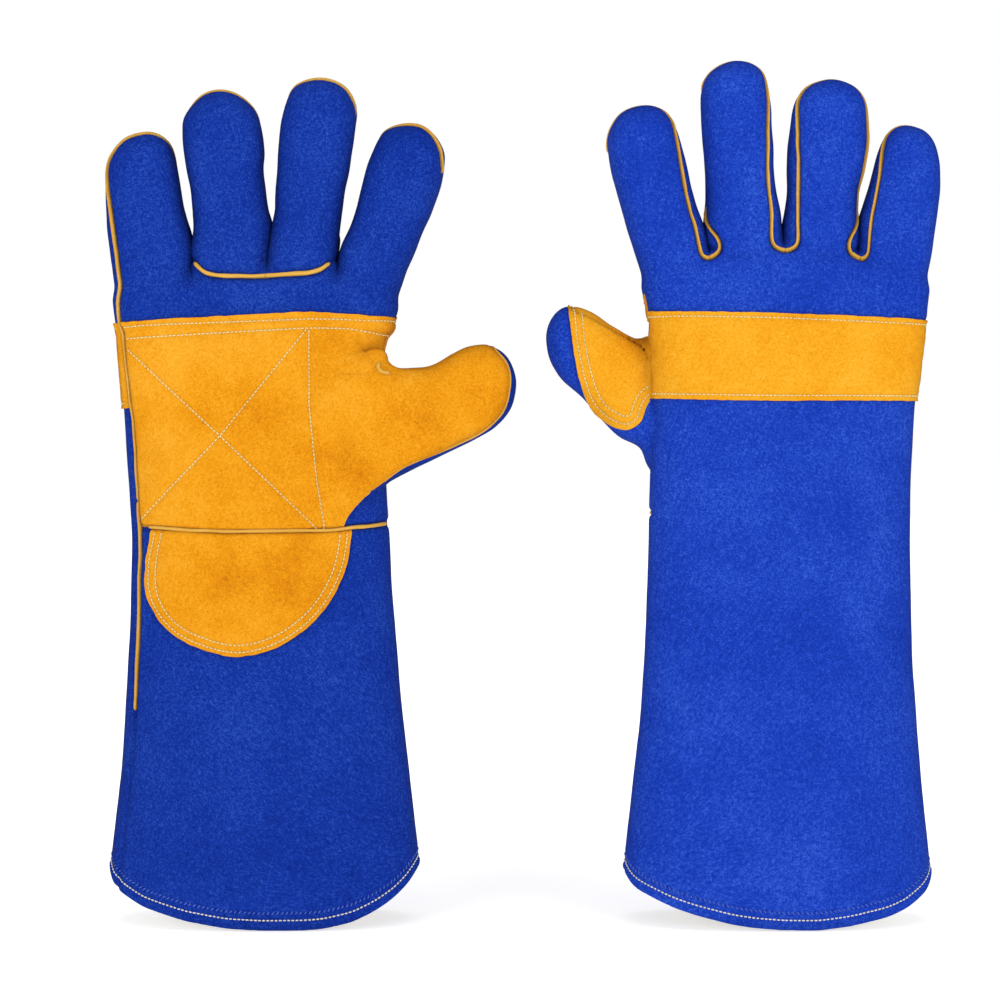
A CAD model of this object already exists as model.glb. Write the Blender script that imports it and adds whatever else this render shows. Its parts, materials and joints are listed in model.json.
import json
import math
import bpy
import numpy as np
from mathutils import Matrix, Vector


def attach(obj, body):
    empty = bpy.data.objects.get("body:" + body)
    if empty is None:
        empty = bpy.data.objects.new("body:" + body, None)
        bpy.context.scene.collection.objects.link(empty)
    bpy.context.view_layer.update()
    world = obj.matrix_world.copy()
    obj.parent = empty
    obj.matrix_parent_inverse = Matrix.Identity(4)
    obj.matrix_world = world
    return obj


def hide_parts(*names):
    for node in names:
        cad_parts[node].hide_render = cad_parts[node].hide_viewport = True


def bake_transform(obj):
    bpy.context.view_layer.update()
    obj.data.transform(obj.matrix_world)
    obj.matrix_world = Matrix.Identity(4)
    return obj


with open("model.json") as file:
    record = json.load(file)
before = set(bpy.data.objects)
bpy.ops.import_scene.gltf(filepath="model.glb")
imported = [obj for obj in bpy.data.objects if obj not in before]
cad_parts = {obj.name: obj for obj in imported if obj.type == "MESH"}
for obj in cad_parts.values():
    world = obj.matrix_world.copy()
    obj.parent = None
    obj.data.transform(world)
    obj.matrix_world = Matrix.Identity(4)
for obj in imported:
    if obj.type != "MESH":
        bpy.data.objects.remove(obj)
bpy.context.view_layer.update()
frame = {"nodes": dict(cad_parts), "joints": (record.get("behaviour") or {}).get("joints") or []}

# All shapes are worked out in millimetres in (x, p, z): p is the depth towards the palm of that
# glove, so Y = palm * p.  Meshes are handed to Blender in metres.
H = 1.5                       # lattice pitch of the leather surface
PW_HAND, PW_FING = 2.35, 2.3
JOINT = {j["name"]: j for j in frame["joints"]}
LITTLE_SEAM, THUMB_SEAM = 12.0, -4.0

# ------------------------------------------------------------------------------------- tables
G1 = dict(
    name="glove1", palm=-1.0, seed=11,
    wrist=[(-190.0, 189.6), (-178.0, 189.7), (-141.8, 187.7), (-92.1, 188.2), (-62.6, 191.0), (-40.0, 192.5)],
    left=[(-30, -203.6), (0, -200.4), (27.8, -197.2), (74.5, -191.8), (96.1, -190.3), (142.1, -187.4), (184.8, -186.3),
          (205, -187.4), (228, -189.2), (287.8, -192.4), (312, -194.8), (340, -197.8)],
    right=[(-30, -43.7), (0, -46.8), (31.7, -48.9), (48.5, -51.2), (108.1, -57.8), (160, -62.0), (178.2, -62.7), (200.3, -64.0),
           (235, -65.6), (262, -66.8), (271, -66.9), (280, -65.0), (300, -57.8), (312, -53.0), (340, -44)],
    depth=[(-30, 34.6), (0, 33.6), (32, 32.3), (75, 30), (123, 27.5), (166, 25.5), (200, 24.6), (235, 23.6), (267, 22.2),
           (287, 20.2), (301, 18.3), (312, 17.1), (340, 15.6)],
    hem=[(-204, 36), (-197.2, 27.0), (-195.4, 20.4), (-190.8, 16.6), (-178.6, 10.3), (-158.2, 4.6), (-138.5, 1.4), (-122.2, 0.5),
         (-101.5, 0.5), (-92.9, 1.1), (-79.5, 3.8), (-69.0, 8.5), (-60.9, 13.4), (-52.1, 21.4), (-49.0, 27.5), (-40, 36)],
    knuckle=[(-215, 303.6), (-195.6, 306), (-155.4, 309.4), (-120.4, 313), (-88.6, 310.8), (-54.6, 300.5), (-35, 294.6)],
    gaps=[-157.0, -121.0, -87.6],
    fingers=dict(
        little=dict(side=1, out=[(-156.2, 284), (-155.8, 300), (-155.6, 318), (-157.3, 329), (-159.8, 337), (-162.0, 345.8), (-165.2, 365.7), (-167.9, 372.5),
                         (-171.7, 376), (-176.2, 377.7), (-180.2, 377.7), (-188.3, 375.1), (-192, 372), (-194.8, 368.1), (-196.8, 363.8),
                         (-197.8, 359), (-198.3, 350.4), (-197.8, 337.4), (-195.2, 313), (-193.4, 300), (-191.8, 288), (-190.8, 284), (-174.0, 283.4)], b=(15.8, 14.8, 14.4)),
        ring=dict(side=0, out=[(-119.8, 284), (-119.7, 300), (-119.2, 318), (-118.8, 334), (-120.9, 341), (-123.0, 360), (-122.8, 368.2), (-125.3, 384.4), (-127.5, 388.5),
                       (-130, 391.3), (-134, 394.5), (-138.6, 396.6), (-145.2, 397.2), (-151.4, 395.2), (-157.7, 389.5), (-161.3, 383.5),
                       (-161.7, 377.3), (-157.0, 345.5), (-156.3, 337), (-157.2, 326), (-158.0, 318), (-158.0, 300), (-158.0, 284)], b=(16.0, 15.4, 14.8)),
        middle=dict(side=0, out=[(-86.6, 284), (-86.2, 300), (-86.0, 312), (-87.2, 321), (-86.9, 328), (-85.6, 340.2), (-81.6, 362), (-78.7, 380.2), (-78.2, 388.3),
                         (-80.3, 394.4), (-83.5, 398.9), (-89.6, 402.4), (-96.2, 403.3), (-102.1, 402.1), (-106.9, 399.7), (-109.7, 396.7),
                         (-112.6, 390.5), (-113.8, 385), (-117.2, 345), (-117.3, 341), (-119.4, 332), (-122.0, 318), (-122.4, 300), (-122.6, 284)], b=(16.0, 15.4, 14.6)),
        index=dict(side=-1, out=[(-62.0, 284), (-61.8, 288), (-37, 357.2), (-36.3, 362.4), (-36.7, 368), (-40.1, 375.1), (-44.2, 379.2), (-46.9, 380.8),
                        (-51.1, 381.6), (-56.8, 381.2), (-61.5, 379.8), (-65.4, 377.4), (-70.6, 369.1), (-79.9, 336.7), (-86.0, 323),
                        (-88.4, 312), (-89.0, 300), (-89.4, 284)], b=(15.8, 15.2, 14.6)),
    ),
    thumb=[(-65.6, 271.0), (-64.6, 267.4), (-61.4, 265.2), (-47.1, 265.5), (-41.4, 267), (-31.8, 272.3), (-24.2, 275.3), (-15.1, 275.9),
           (-10.6, 274.1), (-6, 270), (-3.2, 264.5), (-1.9, 257.3), (-4.5, 246), (-10.1, 238.6), (-22, 230.7), (-42, 221), (-62, 211.2),
           (-72, 206), (-86, 204), (-100, 211), (-106, 226), (-102, 242), (-90, 256), (-77, 266)],
    # the yellow front of the thumb, seen from the palm, and what wraps over its upper edge
    yellow_palm=[(-210, 320), (-210, 196), (-84.2, 189.0), (-84.2, 189.6), (-78.7, 200.2), (-65.0, 211.4), (-55.9, 217.6), (-20.9, 233.0),
                 (-9.0, 243.0), (-5.0, 255.6), (-6.0, 266.2), (-12.5, 274.4), (-17.0, 282), (-30, 330)],
    yellow_back=[(-62.0, 266.6), (-58.0, 262.2), (-46, 260.6), (-38, 262.4), (-29, 267.8), (-21, 272.4), (-17.0, 276), (-16, 290), (-60, 290)],
    thumb_patch=[(-70, 300), (-22.5, 283), (-19.5, 268), (-21.5, 258), (-26.5, 247.0), (-33.0, 235.5), (-42.0, 226.5), (-51.0, 221.6),
                 (-58.0, 221.0), (-63.5, 226.0), (-68, 234), (-80, 240), (-80, 300)],
    moon=[(-174.9, 200), (-174.9, 187.9), (-177.4, 172.8), (-176.4, 155.5), (-166.3, 140.6), (-152.9, 133.4), (-133.2, 129.1),
          (-112.6, 134.6), (-94.8, 148.8), (-84.2, 167.5), (-80.4, 187.7), (-80.4, 200)],
    top_patch=[(-215, 286.0), (-187.0, 286.8), (-139.4, 289.4), (-98.9, 291.4), (-60.7, 289.0), (-40, 288)],
    band_top=[(-215, 286.6), (-186, 286.2), (-57, 290.2), (-30, 290.4)], band_bot=[(-215, 246), (-186, 246.0), (-57, 250), (-30, 250)],
    welt_low=101.8, root=(-54.0, 243.0), drop=10.0, turn=284.0, crotch=252.0, tip=7.2, base_ends=(-154.8, -90.4), tip_w=0.78,
    curl=[(-67.6, 267.4), (-68.6, 265.2), (-67.8, 262.9), (-65.2, 261.6), (-61.8, 261.6)],
    folds=[([(-68.9, 265.4), (-73.0, 271.5), (-77.0, 277.6)], 1.7, 1.0), ([(-68.9, 263.6), (-77.0, 262.2), (-85.5, 263.0)], 1.5, 0.8),
           ([(-71.0, 261.0), (-75.1, 252.5), (-79.0, 240.0), (-81.4, 227.5), (-82.6, 219.0)], 3.4, 0.9),
           ([(-58.0, 262.0), (-60.5, 250.0), (-66.0, 238.0)], 4.0, 0.7), ([(-81.6, 231.0), (-82.2, 226.0), (-83.6, 219.0)], 1.1, 0.4)],
    back_folds=[([(-62.0, 250.0), (-50.0, 243.0), (-40.0, 236.0)], 3.0, 0.7)],
    base=[(-161, 317.6), (-157, 316.8), (-154.2, 315.0), (-151.4, 310.6), (-146, 309.0), (-127.7, 308.4), (-101.5, 309.8), (-94.5, 311.2), (-91, 314.9), (-88, 316.4), (-85, 317)],
    rows=[("z", [(-210, 284.2), (-187, 284.6), (-99.1, 288.0), (-60.7, 287.3), (-40, 286)], -200, -50),
          ("z", [(-210, 278.0), (-185, 278.9), (-126, 282.2), (-100.1, 283.7), (-81.4, 283.4), (-64.1, 280.8), (-50, 279)], -200, -62),
          ("z", [(-190, 277.3), (-186.5, 274.1), (-141.8, 232.8), (-96.2, 189.1), (-90, 183)], -187.5, -96.0),
          ("z", [(-182, 190.8), (-179.0, 193.9), (-141.8, 232.8), (-101.0, 283.4), (-98, 287)], -181, -101.0),
          ("x", [(283.4, -100.1), (247.2, -99.8), (215, -96.4), (189.1, -92.9), (180, -92)], 188, 283.4)],
)
G2 = dict(
    name="glove2", palm=1.0, seed=29,
    wrist=[(30.0, 196.5), (60.0, 196.0), (97.0, 194.2), (142, 194.0), (178.0, 195.6), (200.0, 196)],
    left=[(-30, 43.4), (0, 46.7), (39.9, 51.2), (94.7, 57.4), (140, 60.0), (171.4, 61.2), (217.3, 62.1), (255, 62.4), (291.5, 62.1),
          (308.4, 58.2), (322, 54.0), (340, 48.4)],
    right=[(-30, 202.6), (0, 199.8), (23, 197.4), (66.4, 192.7), (122.9, 188.3), (177.6, 186.5), (205, 186.6), (246.1, 188.4), (293.1, 193.2),
           (322, 197.2), (340, 199.3)],
    depth=[(-30, 34.6), (0, 33.6), (27, 32.4), (66, 30), (114, 27.5), (162, 25.6), (205, 24.6), (234, 23.7), (270, 22.2),
           (296, 20.2), (312, 18.4), (324, 17.1), (350, 15.6)],
    hem=[(40, 44), (48.4, 27.4), (51.0, 21.0), (54.7, 17.6), (71.4, 10.4), (82, 7.2), (99.1, 3.2), (108.7, 1.8), (123.1, 0.7), (140, 0.5),
         (154.8, 2.2), (173.5, 5.9), (183, 9.4), (194.6, 17.0), (197.4, 24), (206, 40)],
    knuckle=[(40, 310.6), (53.4, 313), (89.2, 322.6), (123.8, 326), (159.9, 322.6), (196.9, 313), (215, 308)],
    gaps=[89.4, 125.2, 161.0],
    fingers=dict(
        index=dict(side=1, out=[(91.6, 290), (91.3, 306), (90.4, 320), (88.2, 332), (83.3, 345.8), (75.5, 376.3), (72.3, 383.3), (68.7, 387.4),
                        (65.8, 389.3), (60.7, 390.5), (53.6, 389.5), (48.9, 387.4), (46.8, 385.7), (44.5, 382.7), (42, 377.5), (41.4, 373),
                        (43.2, 361), (48.4, 339.8), (58.2, 308.4), (62.2, 291.5), (62.4, 290)], b=(15.8, 15.2, 14.6)),
        middle=dict(side=0, out=[(126.2, 290), (126.4, 306), (126.3, 322), (124.6, 336), (121.6, 353.8), (119.1, 391.2), (117, 402.2),
                         (115.1, 406.5), (112.5, 409.2), (107.2, 411.6), (101.6, 412), (94.7, 409.8), (90.3, 406.5), (87.9, 403.1),
                         (85.9, 395.5), (85.9, 385), (88.6, 345.6), (87.6, 332), (88.2, 320), (88.9, 306), (89.2, 290)], b=(16.0, 15.4, 14.6)),
        ring=dict(side=0, out=[(162.2, 290), (162.3, 318), (161.6, 332), (160.8, 343), (165.6, 366.3), (166.5, 375.4), (165.7, 386.4),
                       (164, 393.4), (160.3, 398.9), (154.4, 402.1), (147.1, 403), (140.3, 401.2), (137.4, 399.7), (134.4, 396.9),
                       (132, 393.1), (130.5, 388.3), (128.1, 371.5), (127.0, 343), (125.0, 332), (124.0, 318), (123.8, 290)], b=(16.0, 15.4, 14.8)),
        little=dict(side=-1, out=[(176.0, 289), (191.6, 289.4), (192.2, 294), (193.6, 304), (196.6, 320), (199.0, 337), (200.5, 353.8), (200.2, 364.3), (197.4, 374), (193, 378.8), (188.9, 380.5),
                         (184.1, 381.3), (180, 380.6), (177.9, 379.4), (174.5, 376.1), (171.4, 369.5), (166.3, 350.6), (161.0, 334),
                         (159.8, 318), (159.7, 290)], b=(15.8, 14.8, 14.4)),
    ),
    thumb=[(62.3, 279.0), (59.3, 278.6), (54.9, 279.1), (44, 286.2), (32.3, 293.5), (22.8, 295.4), (18.2, 293.3), (14.2, 288.2), (12.3, 282.3),
           (12.5, 275.5), (14.2, 268.7), (19.7, 259.7), (29.5, 250.8), (38.6, 240.7), (47.7, 232), (57.3, 226.8), (62.1, 217.3), (72, 211),
           (86, 211), (99, 220), (104, 236), (99, 252), (88, 264), (75, 273)],
    yellow_palm=[(230, 330), (230, 203), (86.0, 195.6), (81.0, 207.0), (68.0, 218.2), (57.6, 229.4), (42.0, 240.6), (33.4, 250.8),
                 (23.4, 260.6), (17.4, 269.6), (15.4, 276.5), (15.6, 283.0), (18.4, 288.0), (23.6, 293.0), (27.0, 304), (40, 345)],
    yellow_back=[(64.0, 276.6), (56.2, 278.4), (47.6, 282.6), (39.0, 287.4), (31.2, 291.6), (26.4, 293.6), (24.6, 296), (24, 312), (66, 312)],
    thumb_patch=[(66, 310), (24.0, 300), (23.8, 286.6), (26.4, 268.3), (30.5, 254.4), (36.7, 243.8), (45.8, 237.6), (51.6, 236.2),
                 (57.4, 239.5), (59.8, 246.7), (62.4, 250.6), (80, 256), (80, 310)],
    moon=[(170.9, 206), (170.9, 194.3), (173.4, 179.2), (172.4, 161.9), (162.3, 147.0), (148.9, 139.8), (129.2, 135.5),
          (108.6, 141.0), (90.8, 155.2), (80.2, 173.9), (76.4, 194.1), (76.4, 206)],
    top_patch=[(20, 300.2), (62, 300.0), (98.9, 297.6), (139.4, 295.6), (187.0, 293.0), (215, 292.4)],
    band_top=[(20, 291.8), (63.1, 291.8), (120.2, 290.7), (192.2, 287.8), (215, 287.4)],
    band_bot=[(20, 250.6), (62.4, 250.6), (115, 249.6), (188.4, 249.6), (215, 249.8)],
    welt_low=108.0, root=(47.0, 264.8), drop=12.4, turn=293.0, crotch=264.0, tip=2.4, base_ends=(92.2, 158.4), tip_w=0.6,
    curl=[(64.9, 280.4), (65.9, 278.2), (65.1, 275.9), (62.5, 274.6), (59.1, 274.6)],
    folds=[([(65.9, 278.4), (70.0, 284.0), (74.5, 289.0)], 1.7, 1.0), ([(65.9, 276.6), (74.0, 275.2), (82.5, 276.0)], 1.5, 0.8),
           ([(68.0, 274.0), (72.1, 265.5), (76.0, 253.0), (78.4, 240.5), (79.6, 232.0)], 3.4, 0.9)],
    back_folds=[([(61.5, 273.0), (56.0, 266.5), (49.0, 260.0), (44.0, 252.0)], 3.0, 0.75), ([(62.0, 262.0), (55.0, 258.0), (48.0, 248.0)], 2.6, 0.45)],
    base=[(86, 323), (88.5, 322), (92.6, 321), (95, 318.8), (102, 317.6), (127, 317.2), (153, 317.6), (157.5, 319.5), (161.5, 322), (164, 323)],
    rows=[("z", [(39, 296), (59.7, 296.7), (98.1, 294.4), (186, 291.0), (209, 290.6)], 40, 200),
          ("z", [(49, 288.4), (63.1, 288.2), (80.4, 289.8), (99.1, 290.1), (125, 288.6), (184, 285.3), (209, 284.4)], 61, 200),
          ("z", [(89, 189.4), (95.2, 195.5), (140.8, 239.2), (185.5, 280.5), (189, 283.7)], 95.0, 186.5),
          ("z", [(97, 293.4), (100.0, 289.8), (140.8, 239.2), (178.0, 200.3), (181, 197.2)], 100.0, 180.0),
          ("x", [(289.8, 99.1), (253.6, 98.8), (221.4, 95.4), (195.5, 91.9), (186, 91)], 194, 289.8)],
)
for g in (G1, G2):
    if g["name"] == "glove1":
        g["root"] = (g["root"][0] + 1.44, g["root"][1])
    else:
        g["root"] = (g["root"][0] + 1.44, g["root"][1])


# ------------------------------------------------------------------------------- small helpers
def smooth01(t):
    t = np.clip(t, 0.0, 1.0)
    return t * t * (3 - 2 * t)


def smin(a, b, k):
    h = np.clip(0.5 + 0.5 * (b - a) / k, 0, 1)
    return b * (1 - h) + a * h - k * h * (1 - h)


def spline(points, step, closed):
    """Centripetal-like Catmull-Rom through the points, sampled about every step."""
    P = np.array(points, float)
    n = len(P)
    out = []
    for i in range(n if closed else n - 1):
        if closed:
            a, b, c, d = P[(i - 1) % n], P[i], P[(i + 1) % n], P[(i + 2) % n]
        else:
            a, b, c, d = P[max(i - 1, 0)], P[i], P[i + 1], P[min(i + 2, n - 1)]
        L = np.linalg.norm(c - b)
        k = max(1, int(round(L / step)))
        la, lc = max(np.linalg.norm(b - a), 1e-6), max(np.linalg.norm(d - c), 1e-6)
        # tangents scaled to the chord, so uneven spacing does not overshoot
        m0 = ((c - b) / L + (b - a) / la * (1 if closed or i > 0 else 0)) * 0.5 * L
        m1 = ((c - b) / L + (d - c) / lc * (1 if closed or i < n - 2 else 0)) * 0.5 * L
        t = np.arange(k)[:, None] / k
        h00, h10, h01, h11 = 2*t**3-3*t**2+1, t**3-2*t**2+t, -2*t**3+3*t**2, t**3-t**2
        out.append(h00 * b + h10 * m0 + h01 * c + h11 * m1)
    if not closed:
        out.append(P[-1:])
    return np.vstack(out)


def poly_sdf(P, X):
    """Signed distance to a closed polygon, positive inside."""
    A, B = P, np.roll(P, -1, 0)
    E = B - A
    EE = np.maximum((E * E).sum(1), 1e-12)
    out = np.empty(len(X))
    for s in range(0, len(X), 4000):
        x = X[s:s + 4000, None, :]
        w = x - A[None]
        t = np.clip((w * E[None]).sum(2) / EE, 0, 1)
        dd = w - t[..., None] * E[None]
        d2 = (dd * dd).sum(2).min(1)
        c1 = (A[None, :, 1] <= x[..., 1]) & (B[None, :, 1] > x[..., 1])
        c2 = (A[None, :, 1] > x[..., 1]) & (B[None, :, 1] <= x[..., 1])
        cr = E[None, :, 0] * w[..., 1] - E[None, :, 1] * w[..., 0]
        wn = (c1 & (cr > 0)).sum(1) - (c2 & (cr < 0)).sum(1)
        out[s:s + 4000] = np.sqrt(d2) * np.where(wn != 0, 1, -1)
    return out


class Grid2:
    """A 2D field sampled on a grid and read back smoothly."""
    def __init__(self, fn, x0, x1, z0, z1, step=1.0):
        self.x0, self.z0, self.step = x0, z0, step
        self.nx, self.nz = int((x1 - x0) / step) + 1, int((z1 - z0) / step) + 1
        X, Z = np.meshgrid(x0 + step * np.arange(self.nx), z0 + step * np.arange(self.nz), indexing="ij")
        self.v = fn(np.c_[X.ravel(), Z.ravel()]).reshape(self.nx, self.nz)

    def __call__(self, x, z):
        fx = np.clip((x - self.x0) / self.step, 1.0, self.nx - 2.001)
        fz = np.clip((z - self.z0) / self.step, 1.0, self.nz - 2.001)
        i, k = fx.astype(int), fz.astype(int)
        u, w = fx - i, fz - k

        def wts(t):
            return [0.5 * (-t + 2*t**2 - t**3), 0.5 * (2 - 5*t**2 + 3*t**3), 0.5 * (t + 4*t**2 - 3*t**3), 0.5 * (t**3 - t**2)]
        wu, ww = wts(u), wts(w)
        r = 0.0
        for a in range(4):
            for b in range(4):
                r = r + self.v[i + a - 1, k + b - 1] * wu[a] * ww[b]
        return r


KK = np.linspace(-0.4, 1.4, 181)


def profile(ks, vs, blur=0.05):
    """A rounded-off table over KK."""
    y = np.interp(KK, ks, vs)
    w = np.exp(-0.5 * (np.arange(-15, 16) * 0.01 / blur) ** 2)
    return np.convolve(np.pad(y, 15, mode="edge"), w / w.sum(), "valid")


def line_dist(P, x, z):
    """Distance from (x, z) to the open line P."""
    r = np.full(x.shape, 1e9)
    for (x0, z0), (x1, z1) in zip(P, P[1:]):
        dx, dz = x1 - x0, z1 - z0
        t = np.clip(((x - x0) * dx + (z - z0) * dz) / (dx * dx + dz * dz), 0, 1)
        r = np.minimum(r, np.hypot(x - x0 - t * dx, z - z0 - t * dz))
    return r


class Curve1:
    """y(x) through control points, rounded off."""
    def __init__(self, pts, blur=4.0):
        P = np.array(pts, float)
        self.x = np.arange(P[0, 0] - 30, P[-1, 0] + 30, 1.0)
        y = np.interp(self.x, P[:, 0], P[:, 1])
        if blur > 0:
            k = np.exp(-0.5 * (np.arange(-14, 15) / blur) ** 2)
            k /= k.sum()
            y = np.convolve(np.pad(y, 14, mode="edge"), k, "valid")
        self.y = y

    def __call__(self, x):
        return np.interp(x, self.x, self.y)


def hash3(i, j, k, seed):
    n = (i * 73856093) ^ (j * 19349663) ^ (k * 83492791) ^ (seed * 2654435761)
    n = (n ^ (n >> 13)) * 1274126177
    n = n ^ (n >> 16)
    return (n & 0xFFFF) / 32767.5 - 1.0


def noise3(P, scale, seed):
    """Smooth value noise in -1..1 at the given wavelength."""
    Q = P / scale
    I = np.floor(Q).astype(np.int64)
    f = Q - I
    f = f * f * f * (f * (f * 6 - 15) + 10)
    r = np.zeros(len(P))
    for a in (0, 1):
        for b in (0, 1):
            for c in (0, 1):
                w = (f[:, 0] if a else 1 - f[:, 0]) * (f[:, 1] if b else 1 - f[:, 1]) * (f[:, 2] if c else 1 - f[:, 2])
                r += w * hash3(I[:, 0] + a, I[:, 1] + b, I[:, 2] + c, seed)
    return r


# ------------------------------------------------------------------------------- field of a glove
class Glove:
    def __init__(self, g):
        self.g = g
        self.pal = g["palm"]
        self.left = Curve1([(z, x) for z, x in g["left"]], 5.0)
        self.right = Curve1([(z, x) for z, x in g["right"]], 5.0)
        self.depth = Curve1(g["depth"], 6.0)
        self.hem = Curve1(g["hem"], 2.0)
        self.knuckle = Curve1(g["knuckle"], 3.0)
        self.wrist = Curve1(g["wrist"], 5.0)
        self.top = Curve1(g["top_patch"], 4.0)
        self.bt, self.bb = Curve1(g["band_top"], 4.0), Curve1(g["band_bot"], 4.0)
        self.zw = 1000 * JOINT[g["name"] + "_wrist_flex"]["pos_m"][2]
        self.fing = {}
        for n, f in g["fingers"].items():
            poly = spline(f["out"], 1.5, True)
            lo, hi = poly.min(0) - 22, poly.max(0) + 22
            sd = Grid2(lambda X, poly=poly: poly_sdf(poly, X), lo[0], hi[0], lo[1], hi[1])
            j = JOINT["%s_%s_flex" % (g["name"], n)]
            base = np.array([j["pos_m"][0], j["pos_m"][2]]) * 1000
            ax = np.array(j["axis"])
            s = 1.0 if self.pal < 0 else -1.0
            d = np.array([-ax[2] * s, ax[0] * s])
            free = poly[poly[:, 1] > base[1] + 12]
            length = ((free - base) @ d).max()
            self.fing[n] = dict(sd=sd, base=base, d=d, b=f["b"], length=length, side=f["side"], bounds=(lo[0] + 18, hi[0] - 18))
        poly = spline(g["thumb"], 1.5, True)
        lo, hi = poly.min(0) - 26, poly.max(0) + 26
        self.tsd = Grid2(lambda X: poly_sdf(poly, X), lo[0], hi[0], lo[1], hi[1])
        j = JOINT[g["name"] + "_thumb_flex"]
        s = 1.0 if self.pal < 0 else -1.0
        ax = np.array(j["axis"])
        self.td = np.array([-ax[2] * s, ax[0] * s])
        self.tb = np.array([j["pos_m"][0], j["pos_m"][2]]) * 1000
        self.order = sorted(self.fing, key=lambda n: self.fing[n]["base"][0])
        tip = g["tip"]
        self.lines = dict(
            inner=profile([-0.1, 0.12, 0.4, 0.6, 0.75, 0.88, 1.0], [-14.2, -14.0, -12.4, -11.0, -8.2, -4.0, tip]),
            shy=profile([-0.1, 0.05, 0.1, 0.16, 0.24, 0.8, 1.0], [-14.2, -13.6, -9.0, -3.0, 0.4, 0.8, tip], 0.025),
            half=profile([-0.1, 0.05, 0.12, 0.18, 0.28, 0.5, 0.75, 0.9, 1.0], [-14.2, -13.8, -9.5, -4.0, -1.0, -6.0, -5.5, -2.0, tip], 0.03),
            out_little=profile([-0.2, 0.0, 0.3, 0.5, 0.65, 0.8, 0.92, 1.0], [13.4, 13.2, 12.8, 11.8, 9.6, 7.0, tip + 1, tip]),
            out_index=profile([-0.2, 0.0, 0.4, 0.7, 0.85, 1.0], [-4.0, -3.0, 0.0, 3.0, tip + 1, tip]))
        # how the gap lines lie between the fingers
        self.gx = g["gaps"]
        self.ridge = lambda x: self.knuckle(x) + 9.0
        for key in ("yellow_palm", "yellow_back", "thumb_patch", "moon"):
            pl = spline(g[key], 1.5, True)
            lo, hi = pl.min(0) - 14, pl.max(0) + 14
            setattr(self, key, Grid2(lambda X, pl=pl: poly_sdf(pl, X), lo[0], hi[0], lo[1], hi[1]))

    # distance-like fields, negative inside
    def hand(self, x, p, z):
        L, R, b = self.left(z), self.right(z), self.depth(z)
        t = np.abs(x - 0.5 * (L + R)) / (0.5 * (R - L))
        z0 = self.knuckle(x) - self.g["drop"]
        T = np.maximum(0, (z - z0) / 10.0)
        w = PW_HAND + 1.1 * smooth01((z - self.g["turn"] + 55) / 55)
        F = t ** w + (np.abs(p) / b) ** w + T ** 2.2
        return b * (np.maximum(F, 1e-9) ** (1 / w) - 1)

    def finger(self, n, x, p, z):
        f = self.fing[n]
        d = f["sd"](x, z)
        s = (x - f["base"][0]) * f["d"][0] + (z - f["base"][1]) * f["d"][1]
        t = np.clip(s / f["length"], 0, 1)
        b = np.interp(t, [0, 0.5, 1.0], f["b"])
        R = 13.0
        F = (np.maximum(0, R - d) / R) ** PW_FING + (np.abs(p - 0.6) / b) ** PW_FING
        return R * (np.maximum(F, 1e-9) ** (1 / PW_FING) - 1)

    def thumb(self, x, p, z):
        d = self.tsd(x, z)
        s = (x - self.tb[0]) * self.td[0] + (z - self.tb[1]) * self.td[1]
        p0 = 11.0 - 3.0 * smooth01(-s / 45.0)
        R, b = 13.5, 14.6
        F = (np.maximum(0, R - d) / R) ** PW_FING + (np.abs(p - p0) / b) ** PW_FING
        return R * (np.maximum(F, 1e-9) ** (1 / PW_FING) - 1)

    def base_hand(self, x, p, z, fingers=True):
        a = self.hand(x, p, z)
        if fingers:
            f = None
            for n in self.order:
                v = self.finger(n, x, p, z)
                f = v if f is None else np.minimum(f, v)
            a = smin(a, f, 4.0)
        k = 2.4 + 12.0 * smooth01((p - 12.5) / 9.0)
        return smin(a, self.thumb(x, p, z), k)

    def base_finger(self, n, x, p, z):
        return smin(self.hand(x, p, z), self.finger(n, x, p, z), 4.0)

    # depth of the seam between the back panel and the palm panels
    def seam_depth(self, x, z, only=None):
        L, R = self.left(z), self.right(z)
        little, thumb = (L, R) if self.pal < 0 else (R, L)
        t = np.clip((x - little) / (thumb - little), -0.1, 1.1)
        ls = (0.51 + 0.10 * smooth01((z - self.g["turn"] + 55) / 55)) * self.depth(z)
        P = ls + (THUMB_SEAM - ls) * t
        top = smooth01((z - self.g["turn"]) / 20.0)
        Q = np.full_like(P, -14.0)
        edges = [-1e9] + list(self.gx) + [1e9]
        for i, n in enumerate(self.order):
            f = self.fing[n]
            m = (x >= edges[i]) & (x < edges[i + 1]) if only is None else np.full(x.shape, n == only)
            if not m.any():
                continue
            s = (x[m] - f["base"][0]) * f["d"][0] + (z[m] - f["base"][1]) * f["d"][1]
            u = (x[m] - f["base"][0]) * f["d"][1] - (z[m] - f["base"][1]) * f["d"][0]
            k = s / f["length"]
            at = lambda name: np.interp(k, KK, self.lines[name])
            v = np.clip(u / 15.0, -1, 1) * 0.5 + 0.5          # 0 at the low-x side, 1 at the high-x side
            vi = v if self.pal < 0 else 1 - v                 # 1 at the side of the index finger
            lo, hi = dict(little=("out_little", "inner"), ring=("half", "inner"), middle=("inner", "shy"), index=("inner", "out_index"))[n]
            q = at(lo) * (1 - vi) + at(hi) * vi
            Q[m] = q
        return P * (1 - top) + Q * top


# ------------------------------------------------------------------------------- meshing
EDGES = [((0, 0, 0), (1, 0, 0)), ((0, 1, 0), (1, 1, 0)), ((0, 0, 1), (1, 0, 1)), ((0, 1, 1), (1, 1, 1)),
         ((0, 0, 0), (0, 1, 0)), ((1, 0, 0), (1, 1, 0)), ((0, 0, 1), (0, 1, 1)), ((1, 0, 1), (1, 1, 1)),
         ((0, 0, 0), (0, 0, 1)), ((1, 0, 0), (1, 0, 1)), ((0, 1, 0), (0, 1, 1)), ((1, 1, 0), (1, 1, 1))]


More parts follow.
